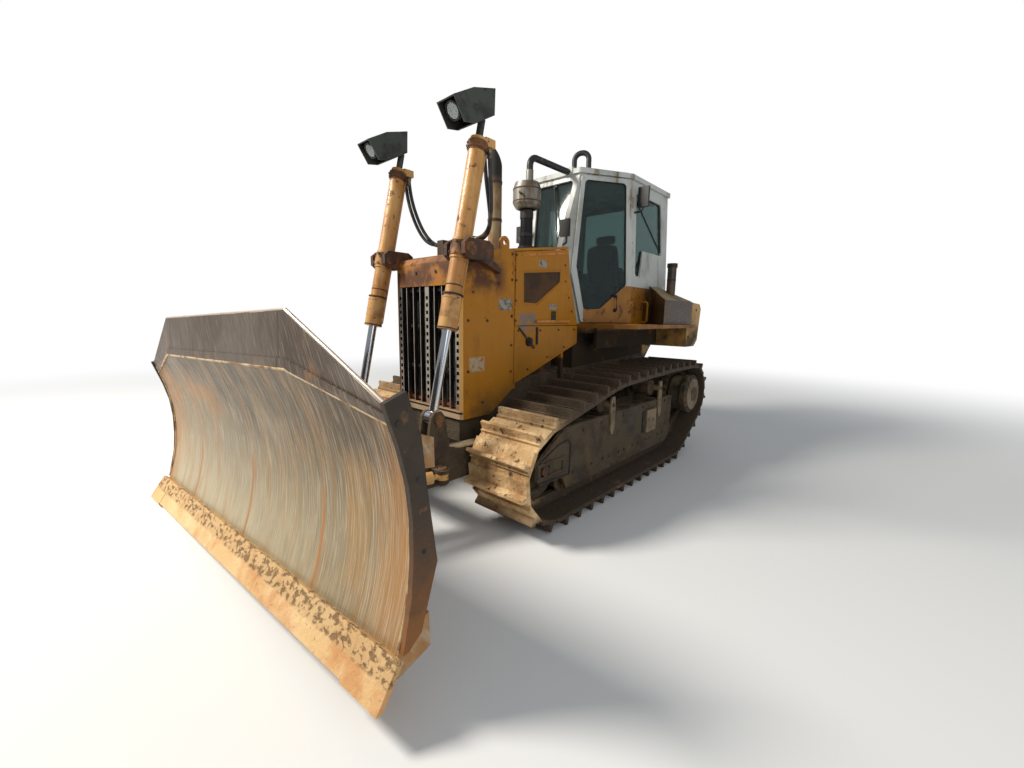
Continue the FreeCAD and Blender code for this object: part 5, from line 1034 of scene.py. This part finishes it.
# Work lamps
# A round sealed lamp with a bright reflector sits in each bent-sheet visor.
# A cable runs from its back along the stem to the barrel's post.
lens_glass = Finish("lamp_lens", (176, 184, 186), 0.12, metal=0.3, coat=0.6)
ribs = node_of(lens_glass.tree, "ShaderNodeTexWave", Vector=lens_glass.place, Scale=34)
ribs.bands_direction = "Y"
lens_glass.layer((108, 116, 118), 0.2, lens_glass.ramp(ribs.outputs["Fac"], 0.3, 0.7))
lens_glass.bump(ribs.outputs["Fac"], 0.002)
mouth = Vector((1.211, 0.565, 3.061))
mouth_way = Vector((0.828, 0, -0.56)).normalized()
for sign, side in ((1, "left"), (-1, "right")):
    lens_at = mirror_y(mouth, sign) - mouth_way * 0.030
    bm = bmesh.new()
    add_prism(bm, lens_at, mouth_way, 0.056, 0.006, sides=36, tip=0.050)
    piece("lamp_lens_" + side, bm, lens_glass, "lift_barrel_" + side)
    bm = bmesh.new()
    add_ring(bm, lens_at, mouth_way, 0.056, 0.0655, 0.008)
    back = lens_at - mouth_way * 0.068
    tube_along(bm, [back + Vector((0.004, sign * 0.02, 0.006)), back + Vector((-0.05, sign * 0.024, -0.005)),
                    back + Vector((-0.10, sign * 0.020, -0.030))], 0.006, 8)
    piece("lamp_rim_" + side, bm, black_rubber, "lift_barrel_" + side)


# Blade rim, welds and end plates
# Falling earth has rolled over and polished the spill guard's top edge.
# Heavy weld beads join the guard, its doubler strip, the end plates and the rolled mouldboard.
blade_place = (Matrix.Translation((2.29, 0, 0.49)) @ Matrix.Rotation(math.radians(3.65), 4, "Z")
               @ Matrix.Rotation(math.radians(2.0), 4, "X") @ Matrix.Translation((0.373, 0, -0.404)))


def mould_x(z):
    """Front face of the mouldboard at a height: the arc through its foot, its hollow and its top."""
    (ax, az), (bx, bz), (cx, cz) = (-0.100, 0.142), (-0.195, 0.700), (-0.050, 1.281)
    double = 2 * (ax * (bz - cz) + bx * (cz - az) + cx * (az - bz))
    squares = [ax * ax + az * az, bx * bx + bz * bz, cx * cx + cz * cz]
    x0 = (squares[0] * (bz - cz) + squares[1] * (cz - az) + squares[2] * (az - bz)) / double
    z0 = (squares[0] * (cx - bx) + squares[1] * (ax - cx) + squares[2] * (bx - ax)) / double
    return x0 - math.sqrt((ax - x0) ** 2 + (az - z0) ** 2 - (z - z0) ** 2)


def dented(points, step, size, seed):
    """A line cut into short steps, each pushed a little out of place."""
    chance = random.Random(seed)
    line = []
    for start, end in zip(points, points[1:]):
        count = max(1, round((end - start).length / step))
        line += [start.lerp(end, k / count) + Vector([chance.uniform(-size, size) for _ in range(3)])
                 for k in range(count)]
    return line + [points[-1]]


polished = Finish("polished_edge", (204, 188, 170), 0.32, metal=0.55)
polished.stain((150, 126, 104), 0.5, 4, 0.52, 0.7, detail=6)
weld_bead = Finish("weld_bead", (206, 180, 140), 0.5, metal=0.3)
weld_bead.stain((142, 106, 68), 0.65, 9, 0.46, 0.62, detail=7)
weld_bead.grain(0.004, 26, 0.3, 0.7, stretch=(1, 4, 1))
TOP_LINE = [Vector(p) for p in ((-0.103, -1.700, 1.185), (-0.074, -1.000, 1.552), (-0.074, 1.000, 1.552),
                                (-0.103, 1.700, 1.185))]
WELD_LINE = [Vector((mould_x(z), y, z)) for y, z in ((-1.700, 1.100), (-1.000, 1.281), (1.000, 1.281),
                                                     (1.700, 1.100))]
bm = bmesh.new()
tube_along(bm, dented(TOP_LINE, 0.110, 0.0008, 3), 0.0108, 12)
bmesh.ops.transform(bm, matrix=blade_place, verts=bm.verts)
piece("guard_rim", bm, polished, "blade")
bm = bmesh.new()
tube_along(bm, dented([p + Vector((0.002, 0, 0)) for p in WELD_LINE], 0.022, 0.0010, 5), 0.0080, 8)
for y in (-1.6955, 1.6955):
    rise = [Vector((mould_x(z) + 0.002, y, z)) for z in (0.17, 0.30, 0.45, 0.60, 0.75, 0.90, 1.02, 1.09)]
    tube_along(bm, dented(rise, 0.022, 0.0008, 9), 0.0062, 8)
bmesh.ops.transform(bm, matrix=blade_place, verts=bm.verts)
piece("blade_welds", bm, weld_bead, "blade")
bm = bmesh.new()
front = [Vector((x + 0.011, y, z)) for x, y, z in TOP_LINE]
for (low0, low1), (top0, top1) in zip(zip(WELD_LINE, WELD_LINE[1:]), zip(front, front[1:])):
    corners = [low0, low1, low1 + (top1 - low1).normalized() * 0.050, low0 + (top0 - low0).normalized() * 0.050]
    if (top0 - low0).length < 0.13:
        corners[3] = low0.lerp(top0, 0.5)
    if (top1 - low1).length < 0.13:
        corners[2] = low1.lerp(top1, 0.5)
    strip = [bm.verts.new(p + Vector((-0.002, 0, 0))) for p in corners]
    made = bmesh.ops.extrude_face_region(bm, geom=[bm.faces.new(strip)])
    outer = [g for g in made["geom"] if isinstance(g, bmesh.types.BMVert)]
    bmesh.ops.translate(bm, vec=(0.0095, 0, 0), verts=outer)
bmesh.ops.recalc_face_normals(bm, faces=bm.faces)
bmesh.ops.transform(bm, matrix=blade_place, verts=bm.verts)
piece("guard_doubler", bm, guard_steel, "blade")
bm = bmesh.new()
for sign in (1, -1):
    for x, z, size in ((-0.138, 1.105, 0.015), (-0.222, 0.86, 0.010), (-0.232, 0.55, 0.010)):
        add_prism(bm, (x, sign * 1.7282, z), (0, sign, 0), size, 0.0025, sides=20)
bmesh.ops.transform(bm, matrix=blade_place, verts=bm.verts)
piece("end_plate_plugs", bm, black_rubber, "blade")
bm = bmesh.new()
for y in (-1.2, -0.82, 0.82, 1.2):
    for out in (-0.012, 0.012):
        rise = [Vector((mould_x(z) - 0.027, y + out, z)) for z in (0.34, 0.45, 0.58, 0.72, 0.86)]
        tube_along(bm, dented(rise, 0.025, 0.001, 13), 0.006, 6)
bmesh.ops.transform(bm, matrix=blade_place, verts=bm.verts)
piece("rib_welds", bm, weld_bead, "blade")


# Final drives, carrier posts and frame fittings
# A pale bolted cover closes each final drive, and a flat post holds each carrier roller's outer end.
# Bolts, yoke bars and a spring cover box stand on the outer face of each track frame, with black strips of painted
# shade beside the box and round the idler.
drive_cover = Finish("drive_cover", (132, 114, 86), 0.6)
drive_cover.stain((104, 86, 60), 0.75, 6, 0.4, 0.62, detail=8)
drive_cover.stain((58, 46, 34), 0.6, 16, 0.58, 0.7, detail=7)
drive_cover.grain(0.002, 30, 0.3, 0.8, detail=7)
SPROCKET = Vector((-2.08, 0, 0.74))
bm = bmesh.new()
bolts = bmesh.new()
posts = bmesh.new()
dark = bmesh.new()
yokes = bmesh.new()
for sign in (1, -1):
    out = (0, sign, 0)
    at = Vector((SPROCKET.x, sign * 1.2352, SPROCKET.z))
    add_prism(bm, at, out, 0.189, 0.0075, sides=48, tip=0.093)
    add_prism(bm, Vector((SPROCKET.x, sign * 1.2420, SPROCKET.z)), out, 0.088, 0.0110, sides=36, tip=0.082)
    for k in range(16):
        angle = 2 * math.pi * k / 16
        ray = Vector((math.cos(angle), 0, math.sin(angle)))
        lean = (ray * 0.455 + Vector((0, sign * 0.89, 0))).normalized()
        add_prism(bolts, SPROCKET + ray * 0.2125 + Vector((0, sign * 1.2230, 0)), lean, 0.012, 0.010, sides=6,
                  tip=0.010)
    for k in range(3):
        angle = math.radians(90 + 120 * k)
        ray = Vector((math.cos(angle), 0, math.sin(angle)))
        add_prism(bolts, SPROCKET + ray * 0.052 + Vector((0, sign * 1.2527, 0)), out, 0.010, 0.002)
    for x, top, middle in ((-0.27, 0.925, 0.843), (-1.33, 0.970, 0.888)):
        outline = ((x - 0.030, top), (x + 0.026, top), (x + 0.042, 0.790), (x + 0.030, 0.600), (x + 0.008, 0.560),
                   (x - 0.020, 0.560), (x - 0.040, 0.620), (x - 0.046, 0.790))
        side_sheet(posts, outline, sign * 1.1205, sign * 1.1380)
        add_prism(posts, (x, sign * 1.052, middle), out, 0.034, 0.070, sides=20)
        add_prism(bolts, (x, sign * 1.1378, middle), out, 0.020, 0.012, tip=0.017)
    for k in range(7):
        x = 0.400 - 0.3033 * k
        for ahead in (-0.055, 0.055):
            if x + ahead < 0.42:
                add_prism(bolts, (x + ahead, sign * 1.1200, 0.345), out, 0.013, 0.010, tip=0.011)
    add_block(posts, (-1.240, sign * 1.1195, 0.430), (-1.010, sign * 1.1480, 0.680), 0.010)
    # Painted shade: a black strip beside the spring box and a black rim round the idler stand for dark openings.
    add_block(dark, (-1.004, sign * 1.1195, 0.440), (-0.945, sign * 1.1330, 0.670), 0.008)
    add_block(yokes, (0.500, sign * 1.1195, 0.386), (0.842, sign * 1.1330, 0.414), 0.006)
    add_block(yokes, (0.500, sign * 1.1195, 0.496), (0.842, sign * 1.1330, 0.524), 0.006)
    add_block(yokes, (0.478, sign * 1.1195, 0.386), (0.512, sign * 1.1330, 0.524), 0.006)
    side_rim(dark, ((0.400, 0.340), (0.385, 0.600), (0.430, 0.655), (0.560, 0.640), (0.790, 0.548), (0.838, 0.500),
                    (0.838, 0.412), (0.790, 0.362)), 0.010, sign * 1.1200, sign * 1.1260)
    add_prism(bolts, (0.730, sign * 1.1000, 0.455), out, 0.046, 0.028, sides=32, tip=0.042)
    for x, z in ((-0.10, 0.70), (-0.52, 0.70), (-0.95, 0.72), (-1.50, 0.72), (0.20, 0.69), (-1.55, 0.45)):
        add_prism(bolts, (x, sign * 1.1200, z), out, 0.015, 0.011, tip=0.013)
piece("drive_covers", bm, drive_cover, "root")
piece("frame_bolts", bolts, dark_steel, "root")
piece("carrier_posts", posts, drive_cover, "root")
piece("frame_painted_shade", dark, black_rubber, "root")
piece("idler_yokes", yokes, frame_paint, "root")


# Push frame pins
# Turned pins with keeper plates join the lift rods, the angle cylinders and the push arms.
# They are greased, so dust has caked round each head.
bm = bmesh.new()
for sign in (1, -1):
    for y in (0.6102, 0.4698):
        out = 1 if y > 0.54 else -1
        add_prism(bm, (1.383, sign * y, 0.892), (0, sign * out, 0), 0.040, 0.012, sides=28, tip=0.036)
        add_block(bm, (1.362, sign * y, 0.834), (1.404, sign * (y + out * 0.010), 0.872), 0.002)
    add_prism(bm, (1.420, sign * 0.700, 0.5460), (0, 0, 1), 0.034, 0.012, sides=28, tip=0.030)
    add_prism(bm, (1.420, sign * 0.700, 0.4340), (0, 0, -1), 0.034, 0.012, sides=28, tip=0.030)
piece("push_frame_pins", bm, rust_clamp, "push_frame")
bm = bmesh.new()
for sign in (1, -1):
    for k in range(6):
        angle = math.radians(60 * k + 15)
        add_prism(bm, (-0.700 + 0.062 * math.cos(angle), sign * 0.6318, 0.480 + 0.062 * math.sin(angle)),
                  (0, sign, 0), 0.009, 0.007, tip=0.008)
piece("arm_cap_bolts", bm, dark_steel, "root")


# Deck tread, tank lids and tail
# Rows of raised bars give grip on the deck beside each door.
# Black lids close the tanks' filler necks, and bolts stand on the tail's straps and rear plate.
deck_tread = bmesh.new()
for sign in (1, -1):
    for row in range(13):
        x = -0.760 - row * 0.042
        near = 0.735 if x < -1.1 else 0.60
        for y in (near + 0.02, near + 0.02 + (1.08 - near) / 2):
            add_block(deck_tread, (x - 0.006, sign * y, 1.5895), (x + 0.006, sign * (y + (1.08 - near) / 2 - 0.04), 1.5945), 0.0015, 1)
piece("deck_tread", deck_tread, worn_and_highlit_paint, "root")
bm = bmesh.new()
for sign in (1, -1):
    add_prism(bm, (-2.000, sign * 0.890, 2.2795), (0, 0, 1), 0.0615, 0.0480, sides=28, tip=0.0605)
    add_prism(bm, (-2.000, sign * 0.890, 2.1200), (0, 0, 1), 0.0535, 0.0200, sides=28)
    add_prism(bm, (-2.480, sign * 0.620, 1.8650), (0, 0, 1), 0.075, 0.050, sides=28, tip=0.068)
piece("tank_lids", bm, black_rubber, "root")
bm = bmesh.new()
for y in (-0.92, -0.62, -0.31, 0.31, 0.62, 0.92):
    add_prism(bm, (-2.7885, y, 1.750), (-1, 0, -0.05), 0.014, 0.009, tip=0.012)
    add_prism(bm, (-2.7385, y, 1.450), (-1, 0, 0.15), 0.014, 0.009, tip=0.012)
for sign in (1, -1):
    for x in (-2.40, -2.62):
        add_prism(bm, (x, sign * 1.0000, 1.780), (0, sign, 0), 0.014, 0.009, tip=0.012)
        add_prism(bm, (x, sign * 1.0000, 1.430), (0, sign, 0), 0.014, 0.009, tip=0.012)
piece("tail_bolts", bm, dark_steel, "root")
